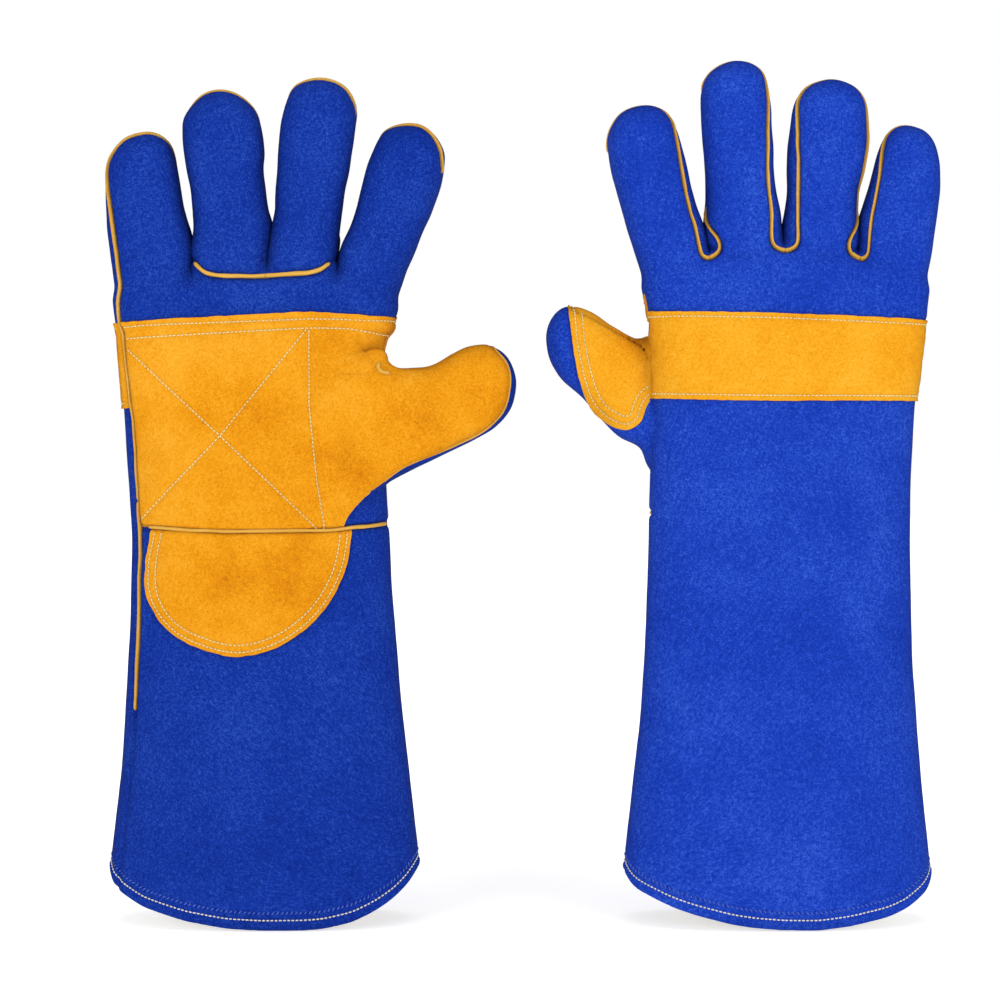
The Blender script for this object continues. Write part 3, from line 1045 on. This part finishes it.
def run_glove(g):
    G = Glove(g)
    pal, nm, seed = G.pal, g["name"], g["seed"]
    short = "g1" if nm == "glove1" else "g2"
    blue, yellow = "blue" + nm[-1], "yellow" + nm[-1]
    z_split = lambda x: G.knuckle(x) - g["drop"] - 1.5
    zw = G.zw
    z_ride = zw + 13.0
    wrist_blend = ("cuffs", nm + "_hand", (0, 0, (zw - 30) / 1000), (0, 0, (zw + 12) / 1000))
    tb, td = G.tb, G.td
    hand = nm + "_hand"

    # ---- named fields over the surface
    psi = lambda V: V[:, 1] - G.seam_depth(V[:, 0], V[:, 2])
    dom = lambda V: G.hand(V[:, 0], V[:, 1], V[:, 2]) - G.thumb(V[:, 0], V[:, 1], V[:, 2])
    st = lambda V: (V[:, 0] - tb[0]) * td[0] + (V[:, 2] - tb[1]) * td[1]

    def thm(V):
        m = smooth01((V[:, 1] - 8) / 7)
        return dom(V) * (1 - m) + (st(V) + 4) * m

    def rag(V):
        return 0.26 * noise3(V, 3.4, seed + 21)

    def yel(V):
        x, p, z = V.T
        yp, yb = G.yellow_palm(x, z), G.yellow_back(x, z)
        h = np.minimum(np.minimum(yp, G.top(x) - z + rag(V)), psi(V))
        h = np.minimum(h, np.maximum(p - 2.0, z - g["crotch"]))
        m = smooth01((p - 6.0) / 6.0)
        t = yp * m + yb * (1 - m)
        k = smooth01(dom(V) / 1.5)
        return h * (1 - k) + t * k
    wz = lambda V: V[:, 2] - G.wrist(V[:, 0])
    hemz = lambda V: V[:, 2] - G.hem(V[:, 0])
    little_side = lambda V: (V[:, 0] < G.left(V[:, 2]) * 0.5 + G.right(V[:, 2]) * 0.5) == (pal < 0)

    def seam_dist(V, N):
        return psi(V) / np.sqrt(np.maximum(1 - N[:, 1] ** 2, 0.03))

    def wrinkle(V):
        r = 0.85 * noise3(V * np.array([1, 1, 0.7]), 44.0, seed) + 0.36 * noise3(V, 18.0, seed + 1) + 0.13 * noise3(V, 6.5, seed + 2)
        return r * (0.35 + 0.65 * smooth01((np.abs(V[:, 1]) - 3) / 9))

    def groove(d, w, a):
        return -a * np.exp(-(d / w) ** 2)

    # ------------------------------------------------------------ hand, cuff and thumb in one skin
    def fn(x, p, z):
        r = np.full(x.shape, 60.0)
        near = z > g["turn"] - 24
        if near.all():
            return G.base_hand(x, p, z)
        k = 2.4 + 12.0 * smooth01((p - 12.5) / 9.0)
        lo = ~near
        r[lo] = G.hand(x[lo], p[lo], z[lo])
        t = lo & (z > g["wrist"][0][1] + 2)
        r[t] = smin(r[t], G.thumb(x[t], p[t], z[t]), k[t])
        if near.any():
            r[near] = G.base_hand(x[near], p[near], z[near])
        return r
    xs = [v for _, v in g["left"]] + [v for _, v in g["right"]] + [x for x, _ in g["thumb"]]
    V, T = nets(fn, (min(xs) - 5, -37, -7), (max(xs) + 5, 37, max(z for _, z in g["knuckle"]) - g["drop"] + 5), H)
    V = project(fn, V)
    V, T = cut(V, T, -hemz(V), drop=True)
    rows = [(psi, (0.0, 0.9, -0.9, 2.0, -2.0, 3.6, -3.6))]
    for f, offs in rows:
        for o in offs:
            V, T = cut(V, T, f(V) - o)
    V, T = cut(V, T, thm(V))
    V, T = cut(V, T, yel(V))
    for o in (-1.0, 1.0):
        V, T = cut(V, T, np.where(V[:, 1] < 8, dom(V) - o, 5.0))
    palm_only = lambda V, f: np.where(psi(V) > -1.0, f, np.abs(f) + 1.0)
    for o in (0.0, 0.9, -0.9, 2.2, -2.2):
        V, T = cut(V, T, palm_only(V, wz(V) - o))
    fbt = lambda V: G.bt(V[:, 0]) - V[:, 2] + rag(V)
    fbb = lambda V: V[:, 2] - G.bb(V[:, 0]) + rag(V)
    fmo = lambda V: G.moon(V[:, 0], V[:, 2]) + rag(V)
    ftp = lambda V: G.thumb_patch(V[:, 0], V[:, 2]) + rag(V)
    for f in (fbt, fbb):
        V, T = cut(V, T, np.where(V[:, 1] < 14, f(V), np.abs(f(V)) + 1))
    V, T = cut(V, T, np.where(V[:, 1] > 5, fmo(V), -5.0))
    V, T = cut(V, T, np.where(V[:, 1] < 9, ftp(V), -5.0))
    V, T = cut(V, T, V[:, 2] - z_ride)
    for o in (3.9, 5.3, 7.3, 8.7, 2.0):
        V, T = cut(V, T, hemz(V) - o)
    V, T = cut(V, T, V[:, 2] - z_split(V[:, 0]))
    V0 = V
    N0 = normals(V0, T)
    ls = little_side(V0)
    amp = np.where(ls, np.where(V0[:, 2] > g["welt_low"] - 3, 1.8, 1.1), 0.45)
    amp = np.where(ls, amp, amp * smooth01(1 - dom(V0) / 3))
    hub = smooth01((np.abs(V0[:, 0] - 0.5 * (G.left(V0[:, 2]) + G.right(V0[:, 2]))) - 8) / 10)
    d = groove(seam_dist(V0, N0), 1.7, 1.0) * np.where(V0[:, 2] > g["turn"] + 2, 1.7 * (1 - hub) + amp * hub, amp)
    pm = smooth01(psi(V0) / 2.0)
    d += groove(wz(V0), 1.7, 1.5) * pm
    yd = yel(V0)
    d += groove(dom(V0), 1.5, 0.8) * smooth01((8 - V0[:, 1]) / 4) * smooth01((V0[:, 2] - g["wrist"][0][1] - 8) / 10)
    for P_, w_, a_ in g["folds"]:
        d += groove(line_dist(P_, V0[:, 0], V0[:, 2]), w_, a_) * smooth01((V0[:, 1] - 6) / 4)
    for P_, w_, a_ in g["back_folds"]:
        d += groove(line_dist(P_, V0[:, 0], V0[:, 2]), w_, a_) * smooth01((6 - V0[:, 1]) / 4)
    d += groove(yd, 1.25, 0.75) * (1 + 0.9 * smooth01((9 - V0[:, 1]) / 3)) * smooth01(dom(V0) - 0.5) * smooth01((psi(V0) + 30) / 4)
    hz = hemz(V0)
    d += groove(hz - 4.6, 1.0, 0.45) + groove(hz - 8.0, 0.9, 0.3) + 0.45 * np.exp(-((hz - 1.8) / 1.7) ** 2)
    d += wrinkle(V0) * smooth01(hz / 12)
    d += 0.16 * noise3(V0 * np.array([1, 1, 0.3]), 7.0, seed + 7) * np.exp(-((hz - 4) / 5) ** 2)
    V = V0 + N0 * d[:, None]
    N = normals(V, T)
    skin = (V, N, T)
    C = V0[T].mean(1)
    cz, cpsi, cthm, cy = C[:, 2], psi(C), thm(C), yel(C)
    keep = cz < z_split(C[:, 0])
    inthumb = (cthm > 0)
    back = (cpsi < 0) & ~inthumb & keep
    front = (cpsi > 0) & ~inthumb & keep
    cuffz = cz < z_ride

    def panel(name, mask, how, node, slot, mat, thick=1.45, rim=0.25, off=None, Vx=None):
        if mask.sum() < 8:
            return None
        v, n = V, N
        if off is not None:
            v = V + N * off[:, None]
        if off is not None:
            n = normals(v, T)
            n = np.where(((n * N).sum(1) < 0.45)[:, None], N, n)
        VV, NN, F = solid(v, n, T[mask], thick, rim)
        ob = make_object("%s_%s" % (short, name), VV, F, mat, pal, NN)
        return place(ob, how, node, slot)

    panel("back_cuff", back & cuffz, wrist_blend, nm + "_cuff_back", "blue_leather", blue)
    panel("back_hand", back & ~cuffz, hand, nm + "_hand_back", "blue_leather", blue)
    below = (C[:, 2] - G.wrist(C[:, 0])) < 0
    panel("front_cuff", front & below, wrist_blend, nm + "_cuff_front", "blue_leather", blue)
    panel("palm_low", front & ~below & cuffz, wrist_blend, None, "blue_leather", blue)
    # the thumb starts to bend past the farthest point of the seam that joins it to the hand
    s0 = st(V0[np.abs(thm(V0)) < 0.05]).max() + 1.5
    thumb_blend = (nm + "_hand", nm + "_thumb", ((tb[0] + s0 * td[0]) / 1000, 0, (tb[1] + s0 * td[1]) / 1000),
                   ((tb[0] + (s0 + 24) * td[0]) / 1000, 0, (tb[1] + (s0 + 24) * td[1]) / 1000))
    panel("palm_up", front & ~below & ~cuffz, hand, nm + "_hand_palm", "blue_leather", blue)
    panel("thumb_back", inthumb & (cy < 0) & keep, thumb_blend, nm + "_thumb_back", "blue_leather", blue)

    # ---- overlays: raw-edged yellow patches lying on the skin
    tuck = smooth01(np.abs(psi(V0)) / 3.2) * 0.85 + 0.15
    tuck_w = smooth01(np.abs(wz(V0)) / 2.6) * 0.8 + 0.2
    edge = 0.18 * noise3(V0, 3.2, seed + 5)
    s_t = st(V0)
    off_y = 1.32 * (1 - smooth01(s_t / 20.0)) * np.where(dom(V0) < 1, tuck, 1.0) * tuck_w + edge * 0.4
    off_y *= 1 - 0.85 * smooth01((10.0 - V0[:, 1]) / 6.0) * smooth01((s_t + 4) / 6.0)
    off_y = off_y + 0.05
    # stitched rows press the patch down
    press = np.zeros(len(V0))
    rowf = []
    for kind, pts, a, b in g["rows"]:
        c = Curve1(sorted(pts), 1.5)
        if kind == "z":
            f = lambda W, c=c: W[:, 2] - c(W[:, 0])
            lim = lambda W, a=a, b=b: (W[:, 0] > a) & (W[:, 0] < b)
        else:
            f = lambda W, c=c: W[:, 0] - c(W[:, 2])
            lim = lambda W, a=a, b=b: (W[:, 2] > a) & (W[:, 2] < b)
        rowf.append((f, lim))
        slope = (np.interp(V0[:, 0] + 0.5, c.x, c.y) - np.interp(V0[:, 0] - 0.5, c.x, c.y)) if kind == "z" else (
            np.interp(V0[:, 2] + 0.5, c.x, c.y) - np.interp(V0[:, 2] - 0.5, c.x, c.y))
        dist = f(V0) / np.sqrt(1 + slope ** 2)
        press += groove(dist, 1.5, 0.55) * lim(V0)
    front_face = V0[:, 1] > 4
    cr = 1 - (1 - smooth01(np.abs(dom(V0)) / 4.0)) * smooth01((20 - V0[:, 1]) / 4)
    off_y = np.maximum((off_y + press * front_face * tuck) * (0.15 + 0.85 * cr), 0.18)
    yel_face = (cy > 0) & keep & ~(below & ~inthumb)
    panel("palm_patch_low", yel_face & ~inthumb & cuffz & (cpsi > 0), wrist_blend, None, "yellow_leather", yellow, 1.35, 0.12, off_y)
    panel("palm_patch_up", yel_face & ~inthumb & ~cuffz & (cpsi > 0), hand, nm + "_palm_patch", "yellow_leather", yellow, 1.35, 0.12, off_y)
    panel("thumb_front", yel_face & inthumb, thumb_blend, nm + "_thumb_palm", "yellow_leather", yellow, 1.35, 0.12, off_y)

    ctp = ftp(C)
    mask_tp = inthumb & (ctp > 0) & (cy < 0) & (C[:, 1] < 9) & keep
    tp0 = G.thumb_patch(V0[:, 0], V0[:, 2])
    fade = (0.12 + 0.88 * smooth01((dom(V0) - 0.3) / 4.0)) * (0.25 + 0.75 * smooth01(-yd / 3.0))
    off_tp = (1.3 + groove(tp0 - 2.4, 1.2, 0.5) + groove(tp0 - 5.8, 1.2, 0.5)) * fade + edge * fade
    off_tp = np.maximum(off_tp, 0.2)
    panel("thumb_patch", mask_tp, thumb_blend, nm + "_thumb_patch", "yellow_leather", yellow, 1.3, 0.12, off_tp)

    cb = (fbt(C) > 0) & (fbb(C) > 0)
    mask_band = back & cb
    dt, db = G.bt(V0[:, 0]) - V0[:, 2], V0[:, 2] - G.bb(V0[:, 0])
    off_b = 1.3 * tuck + edge + groove(dt - 2.2, 1.3, 0.5) + groove(db - 2.3, 1.3, 0.5)
    off_b = np.maximum(off_b, 0.2)
    panel("knuckle_band", mask_band, hand, nm + "_knuckle_band", "yellow_leather", yellow, 1.3, 0.12, off_b)

    cm = fmo(C)
    mask_moon = front & below & (cm > 0) & (C[:, 1] > 5)
    mo = G.moon(V0[:, 0], V0[:, 2])
    off_m = 1.32 * tuck_w + edge + groove(mo - 1.8, 1.2, 0.5) + groove(mo - 5.1, 1.2, 0.5)
    panel("half_moon", mask_moon, wrist_blend, nm + "_cuff_patch", "yellow_leather", yellow, 1.3, 0.12, off_m)

    # ---- the turned-in fold of the hem
    hemmask = (hemz(C) < 5.3) & keep
    vi = V - N * 1.6
    VV, NN, F = solid(vi, N, T[hemmask], 1.5, 0.3)
    place(make_object(short + "_hem_fold", VV, F, blue, pal, NN), "cuffs", nm + "_cuff_hem", "blue_leather")

    # ---- welts
    V6 = np.c_[V, V0]

    def welt(name, runs, how, node, hw=0.78, hh=1.3, sink=-1.0, wide=None):
        b = Builder()
        for P, Q, closed, _ in runs:
            P, Q = soften(P, 4), soften(Q, 4)
            k = 0.10 * noise3(P, 5.0, seed + 9)[:, None]
            w = hw * (1 + 0.16 * noise3(P, 4.0, seed + 10)) * (1 if wide is None else wide(P))
            deep = sink(P)[:, None] if callable(sink) else sink
            joins = [min(abs(e[0] - q) for q in G.gx) > 2.5 and abs(e[2] - z_split(e[0])) > 2.5 for e in (P[0], P[-1])]
            v, f = tube_along(P + Q * (k - deep), Q, w, hh, False, taper=joins)
            b.add(v, f)
        if b.empty():
            return
        v, f = b.out()
        place(make_object("%s_%s" % (short, name), v, f, "welt", pal), how, node, "welt_leather")
    lit = lambda X: little_side(X[:, 3:6])
    f0 = psi(V0)
    welt("side_welt_cuff", isolines(V6, N, T, f0, 1.2, lambda X: lit(X) & (X[:, 5] > g["welt_low"]) & (X[:, 5] < z_ride)), wrist_blend, nm + "_cuff_side_welt")
    welt("side_welt_hand", isolines(V6, N, T, f0, 1.2, lambda X: lit(X) & (X[:, 5] >= z_ride) & (X[:, 5] < z_split(X[:, 3]) + 0.6)), hand, nm + "_hand_welts")
    welt("wrist_welt", isolines(V6, N, T, wz(V0), 1.2, lambda X: (psi(X[:, 3:6]) > 3.8) & (X[:, 4] > 5.0)), wrist_blend, None, 0.9)
    yy = yel(V0)
    Vy = np.c_[V + N * (off_y * 0.5)[:, None], V0]
    welt("thumb_welt", isolines(Vy, N, T, yy, 1.2, lambda X: (dom(X[:, 3:6]) > 0.3) & (st(X[:, 3:6]) > -26)), thumb_blend, nm + "_thumb_welt", 0.62, 1.0, lambda P: 0.25 + 0.95 * smooth01((9 - P[:, 1]) / 3))
    if g.get("curl"):
        cu = np.array(g["curl"])
        Pc = project(fn, np.c_[cu[:, 0], np.full(len(cu), 23.0), cu[:, 1]], 5)
        Pc = soften(resample(Pc, 0.8), 2)
        Nc = grad(fn, Pc)
        Nc /= np.linalg.norm(Nc, axis=1, keepdims=True)
        v, f = tube_along(Pc + Nc * 0.9, Nc, 1.0, 1.1, False)
        place(make_object("%s_welt_end" % short, v, f, "welt", pal), thumb_blend, None, "welt_leather")

    # ---- stitches
    groups = dict(cuff=Builder(), hand=Builder(), thumb=Builder(), hem=Builder(), tonal=Builder())

    def sew(group, runs, **kw):
        for i, (P, Q, closed, _) in enumerate(runs):
            stitches(groups[group], P, Q, seed=seed * 100 + i + len(groups[group].V), **kw)
    run = lambda V_, T_, phi, keep: isolines(V_, N, T_, phi, 1.0, keep)
    sew("hem", run(V6, T, hz - 4.6, None))
    sew("tonal", run(V6, T, hz - 8.0, None), slant=0.9, r=0.34, length=1.7, pitch=2.2)
    Vp = np.c_[V + N * off_y[:, None], V0]
    pf = T[(cy > 0) & (cpsi > 0) & keep & ~below]
    for f, lim in rowf:
        for gname, cond in (("cuff", lambda X: X[:, 5] < z_ride), ("hand", lambda X: (X[:, 5] >= z_ride) & (thm(X[:, 3:6]) < 0)),
                            ("thumb", lambda X: (X[:, 5] >= z_ride) & (thm(X[:, 3:6]) >= 0))):
            sew(gname, run(Vp, pf, f(V0), lambda X, lim=lim, cond=cond: lim(X[:, 3:6]) & cond(X) & (X[:, 4] > 3) & (psi(X[:, 3:6]) > 2.0) & ((dom(X[:, 3:6]) < -1.5) | (X[:, 4] > 11))))
    Vb = np.c_[V + N * off_b[:, None], V0]
    bf = T[mask_band]
    inband = lambda X: (np.abs(psi(X[:, 3:6])) > 2.2) & (dom(X[:, 3:6]) < -1.0)
    sew("hand", run(Vb, bf, dt - 2.2, inband))
    sew("hand", run(Vb, bf, db - 2.3, inband))
    Vm = np.c_[V + N * off_m[:, None], V0]
    mf = T[mask_moon]
    inmoon = lambda X: X[:, 5] < G.wrist(X[:, 3]) - 2.2
    sew("cuff", run(Vm, mf, mo - 1.8, inmoon))
    sew("cuff", run(Vm, mf, mo - 5.1, inmoon))
    Vt = np.c_[V + N * off_tp[:, None], V0]
    tf = T[mask_tp]
    sew("thumb", run(Vt, tf, tp0 - 2.4, None))
    sew("thumb", run(Vt, tf, tp0 - 5.8, None))
    hows = dict(cuff=wrist_blend, hand=hand, thumb=thumb_blend, hem="cuffs", tonal="cuffs")
    for k, b in groups.items():
        if not b.empty():
            v, f = b.out()
            place(make_object("%s_stitches_%s" % (short, k), v, f, dict(tonal="tonal", hem="pale").get(k, "thread"), pal), hows[k], None, None)

    # ------------------------------------------------------------ fingers
    edges = [-1e9] + list(G.gx) + [1e9]
    basec = Curve1(g["base"], 1.2)
    for i, n in enumerate(G.order):
        f = G.fing[n]
        ff = lambda x, p, z, n=n: G.base_finger(n, x, p, z)
        x0, x1 = f["bounds"]
        gl, gr = edges[i], edges[i + 1]
        xlo, xhi = max(x0, gl) - 9, min(x1, gr) + 9
        xlo, xhi = min(xlo, x0 - 2), max(xhi, x1 + 2)
        W, U = nets(ff, (xlo, -21, min(z_split(x0), z_split(x1)) - 9), (xhi, 21, f["base"][1] + f["length"] + 8), H)
        W = project(ff, W)
        sect = np.maximum(gl - W[:, 0], W[:, 0] - gr)
        dh = G.finger(n, *W.T) - G.hand(*W.T)
        W, U = cut(W, U, np.minimum(sect, dh + 1.0), drop=True)
        psn = lambda Q, n=n: Q[:, 1] - G.seam_depth(Q[:, 0], Q[:, 2], n)
        for o in (0.0, 0.9, -0.9, 2.0, -2.0, 3.6, -3.6):
            W, U = cut(W, U, psn(W) - o)
        inner = n in ("ring", "middle")
        bz = lambda Q: Q[:, 2] - basec(Q[:, 0])
        if inner:
            for o in (0.0, 1.0, -1.0, 2.2, -2.2):
                W, U = cut(W, U, np.where(psn(W) > -0.5, bz(W) - o, 5.0))
        W, U = cut(W, U, W[:, 2] - z_split(W[:, 0]))
        W0 = W
        M0 = normals(W0, U)
        k0 = ((W0[:, 0] - f["base"][0]) * f["d"][0] + (W0[:, 2] - f["base"][1]) * f["d"][1]) / f["length"]
        u0 = (W0[:, 0] - f["base"][0]) * f["d"][1] - (W0[:, 2] - f["base"][1]) * f["d"][0]
        am = 1.7
        if n == "index":
            outer = smooth01(u0 * (1 if pal < 0 else -1) / 6 + 0.5)
            am = 1.7 - 1.25 * outer * (1 - smooth01((k0 - 0.68) / 0.08))
        dd = groove(psn(W0) / np.sqrt(np.maximum(1 - M0[:, 1] ** 2, 0.03)), 1.7, 1.0) * am
        if inner:
            dd += groove(bz(W0), 1.7, 1.3) * smooth01(psn(W0) / 2.0)
        s_f = (W0[:, 0] - f["base"][0]) * f["d"][0] + (W0[:, 2] - f["base"][1]) * f["d"][1]
        dd += wrinkle(W0)
        dd += 0.30 * noise3(W0 * np.array([0.4, 0.6, 1.6]), 16.0, seed + 13 + i) * smooth01(s_f / 12)
        W = W0 + M0 * dd[:, None]
        M = normals(W, U)
        CC = W0[U].mean(1)
        kp = CC[:, 2] > z_split(CC[:, 0])
        cp = psn(CC)
        d3, b3 = f["d"], f["base"]
        how = (hand, "%s_%s" % (nm, n), (b3[0] / 1000, 0, b3[1] / 1000), ((b3[0] + 36 * d3[0]) / 1000, 0, (b3[1] + 36 * d3[1]) / 1000))

        def fpanel(name, mask, node):
            if mask.sum() < 8:
                return
            VV, NN, F = solid(W, M, U[mask], 1.4, 0.25)
            place(make_object("%s_%s_%s" % (short, n, name), VV, F, blue, pal, NN), how, node, "blue_leather")
        fpanel("back", kp & (cp < 0), "%s_%s_back" % (nm, n))
        if inner:
            cbz = CC[:, 2] - basec(CC[:, 0])
            fpanel("front", kp & (cp > 0) & (cbz > 0), "%s_%s_front" % (nm, n))
            fpanel("palm_tab", kp & (cp > 0) & (cbz < 0), None)
        else:
            fpanel("front", kp & (cp > 0), "%s_%s_front" % (nm, n))
        W6 = np.c_[W, W0]
        sf = lambda X: ((X[:, 3] - b3[0]) * d3[0] + (X[:, 5] - b3[1]) * d3[1]) / f["length"]
        if n == "index":
            mid_x = lambda X: b3[0] + (X[:, 5] - b3[1]) * d3[0] / d3[1]
            runs = isolines(W6, M, U[kp], psn(W0), 1.2, lambda X: ((X[:, 3] < mid_x(X)) == (pal < 0)) | (sf(X) > 0.74))
        else:
            runs = isolines(W6, M, U[kp], psn(W0), 1.2, None)

        def fan(P):
            """The welt spreads out at the foot of the gaps between the fingers."""
            e = np.min([np.abs(P[:, 0] - q) for q in G.gx], 0)
            low = P[:, 2] - (z_split(P[:, 0]) + 3.0)
            top = smooth01((((P[:, 0] - b3[0]) * d3[0] + (P[:, 2] - b3[1]) * d3[1]) / f["length"] - 0.82) / 0.12)
            return 1 + 0.9 * (1 - smooth01((low - 1.0) / 8.0)) * (1 - smooth01((e - 3.0) / 4.0)) * (P[:, 1] < 0) + (0.7 if pal < 0 else 0.15) * top
        def bury(P):
            """The seam on the index side of the middle finger lies folded in."""
            k = ((P[:, 0] - b3[0]) * d3[0] + (P[:, 2] - b3[1]) * d3[1]) / f["length"]
            u = ((P[:, 0] - b3[0]) * d3[1] - (P[:, 2] - b3[1]) * d3[0]) * (1 if pal < 0 else -1)
            return -1.0 + 1.7 * smooth01((u - 4) / 5) * smooth01((k - 0.17) / 0.08) * (1 - smooth01((k - 0.78) / 0.1))
        welt("%s_welt" % n, runs, how, None, g["tip_w"], 1.3, bury if n == "middle" else -1.0, fan)
        if inner:
            e0, e1 = g["base_ends"]
            welt("%s_base_welt" % n, isolines(W6, M, U[kp], bz(W0), 1.2, lambda X: (psn(X[:, 3:6]) > 3.0) & (X[:, 3] > e0) & (X[:, 3] < e1)),
                 how, None, 1.02, 1.25)

    # ------------------------------------------------------------ linings
    h4 = 4.0
    fl = lambda x, p, z: fn(x, p, z) + 3.7
    L, LT = nets(fl, (min(xs) - 5, -37, -5), (max(xs) + 5, 37, max(z for _, z in g["knuckle"]) - g["drop"] + 3), h4)
    L, LT = cut(L, LT, -(hemz(L) - 1.0), drop=True)
    L, LT = cut(L, LT, L[:, 2] - z_ride)
    L, LT = cut(L, LT, thm(L))
    LN = normals(L, LT)
    LC = L[LT].mean(1)
    lth = thm(LC) > 0
    for name, mask, how, node, slot, mat in (
            ("cuff_lining", (LC[:, 2] < z_ride) & ~lth, wrist_blend, nm + "_cuff_lining", "cotton_canvas", "canvas"),
            ("hand_lining", (LC[:, 2] >= z_ride) & ~lth & (LC[:, 2] < z_split(LC[:, 0]) + 2), hand, nm + "_hand_lining", "fleece_lining", "fleece"),
            ("thumb_lining", lth, thumb_blend, nm + "_thumb_lining", "fleece_lining", "fleece")):
        VV, NN, F = solid(L, LN, LT[mask], 1.4, 0.0)
        place(make_object("%s_%s" % (short, name), VV, F, mat, pal, NN), how, node, slot)
    for n in G.order:
        f = G.fing[n]
        ff = lambda x, p, z, n=n: G.finger(n, x, p, z) + 3.6
        x0, x1 = f["bounds"]
        W, U = nets(ff, (x0 - 2, -21, min(z_split(x0), z_split(x1)) - 2), (x1 + 2, 21, f["base"][1] + f["length"] + 6), 3.0)
        M = normals(W, U)
        d3, b3 = f["d"], f["base"]
        how = (hand, "%s_%s" % (nm, n), (b3[0] / 1000, 0, b3[1] / 1000), ((b3[0] + 36 * d3[0]) / 1000, 0, (b3[1] + 36 * d3[1]) / 1000))
        VV, NN, F = solid(W, M, U, 1.4, 0.0)
        place(make_object("%s_%s_lining" % (short, n), VV, F, "fleece", pal, NN), how, "%s_%s_lining" % (nm, n), "fleece_lining")


for g in (G1, G2):
    run_glove(g)

replaced = {}
for ob, how, node, slot in PIECES:
    if isinstance(how, str):
        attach(ob, how)
    else:
        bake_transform(ob)
    if node:
        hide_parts(node)
        replaced[node] = ob.name

# the welt strips of the hand are shown by the pieces above
left_over = sorted(set(frame["nodes"]) - set(replaced))
print("CAD nodes still shown:", left_over)

# ------------------------------------------------------------------------------- floor, light, camera
def stage_object(name, V, F, mat):
    me = bpy.data.meshes.new(name)
    me.from_pydata(V, [], F)
    for p in me.polygons:
        p.use_smooth = True
    me.materials.append(mat)
    ob = bpy.data.objects.new(name, me)
    bpy.context.scene.collection.objects.link(ob)
    return ob


white = bpy.data.materials.new("studio_white")
nt, b = nodes_of(white)
b.inputs["Base Color"].default_value = (0.93, 0.93, 0.93, 1)
b.inputs["Roughness"].default_value = 0.75
b.inputs["Specular IOR Level"].default_value = 0.1
b.inputs["Emission Color"].default_value = (1, 1, 1, 1)
# the floor turns to plain white away from the gloves
pos = nt.nodes.new("ShaderNodeNewGeometry").outputs["Position"]
ln = nt.nodes.new("ShaderNodeVectorMath")
ln.operation = "LENGTH"
nt.links.new(pos, ln.inputs[0])
rng_ = nt.nodes.new("ShaderNodeMapRange")
rng_.interpolation_type = "SMOOTHSTEP"
nt.links.new(ln.outputs["Value"], rng_.inputs["Value"])
for key, val in (("From Min", 0.08), ("From Max", 0.45), ("To Min", 0.60), ("To Max", 1.0)):
    rng_.inputs[key].default_value = val
eye = nt.nodes.new("ShaderNodeLightPath").outputs["Is Camera Ray"]
mx = nt.nodes.new("ShaderNodeMix")
nt.links.new(eye, mx.inputs[0])
mx.inputs[2].default_value = 0.36
nt.links.new(rng_.outputs[0], mx.inputs[3])
nt.links.new(mx.outputs[0], b.inputs["Emission Strength"])
floor = stage_object("floor", [(-6, -6, 0), (6, -6, 0), (6, 6, 0), (-6, 6, 0)], [(0, 1, 2, 3)], white)

# the surroundings are plain white to the eye and give a softer light to the gloves
world = bpy.data.worlds.new("studio")
bpy.context.scene.world = world
world.use_nodes = True
wt = world.node_tree
soft = wt.nodes["Background"]
soft.inputs[0].default_value = (1.0, 1.0, 1.0, 1)
soft.inputs[1].default_value = 0.33
seen = wt.nodes.new("ShaderNodeBackground")
seen.inputs[0].default_value = (1.0, 1.0, 1.0, 1)
seen.inputs[1].default_value = 1.0
path = wt.nodes.new("ShaderNodeLightPath")
both = wt.nodes.new("ShaderNodeMixShader")
wt.links.new(path.outputs["Is Camera Ray"], both.inputs[0])
wt.links.new(soft.outputs[0], both.inputs[1])
wt.links.new(seen.outputs[0], both.inputs[2])
wt.links.new(both.outputs[0], wt.nodes["World Output"].inputs[0])


def area(name, loc, target, size, power):
    l = bpy.data.lights.new(name, "AREA")
    l.shape = "RECTANGLE"
    l.size, l.size_y = size
    l.energy = power
    o = bpy.data.objects.new(name, l)
    o.location = loc
    o.rotation_euler = (Vector(target) - Vector(loc)).to_track_quat("-Z", "Y").to_euler()
    bpy.context.scene.collection.objects.link(o)


area("key", (-0.95, -1.45, 0.55), (-0.05, 0, 0.2), (0.7, 0.7), 8.6)
area("fill", (0.95, -1.45, 0.50), (0.05, 0, 0.2), (0.7, 0.7), 8.6)
area("top", (0.0, -0.2, 1.9), (0, 0, 0.2), (1.2, 0.8), 4.2)

cam = bpy.data.cameras.new("camera")
cam.lens = 100.0
cam.sensor_width = 36.0
co = bpy.data.objects.new("camera", cam)
cx, cz_, dist, elev = -0.0099, 0.202, 1.3333, math.radians(1.5)
co.location = (cx, -dist * math.cos(elev), cz_ + dist * math.sin(elev))
co.rotation_euler = (math.pi / 2 - elev, 0, 0)
bpy.context.scene.collection.objects.link(co)
bpy.context.scene.camera = co
bpy.context.scene.view_settings.view_transform = "Standard"
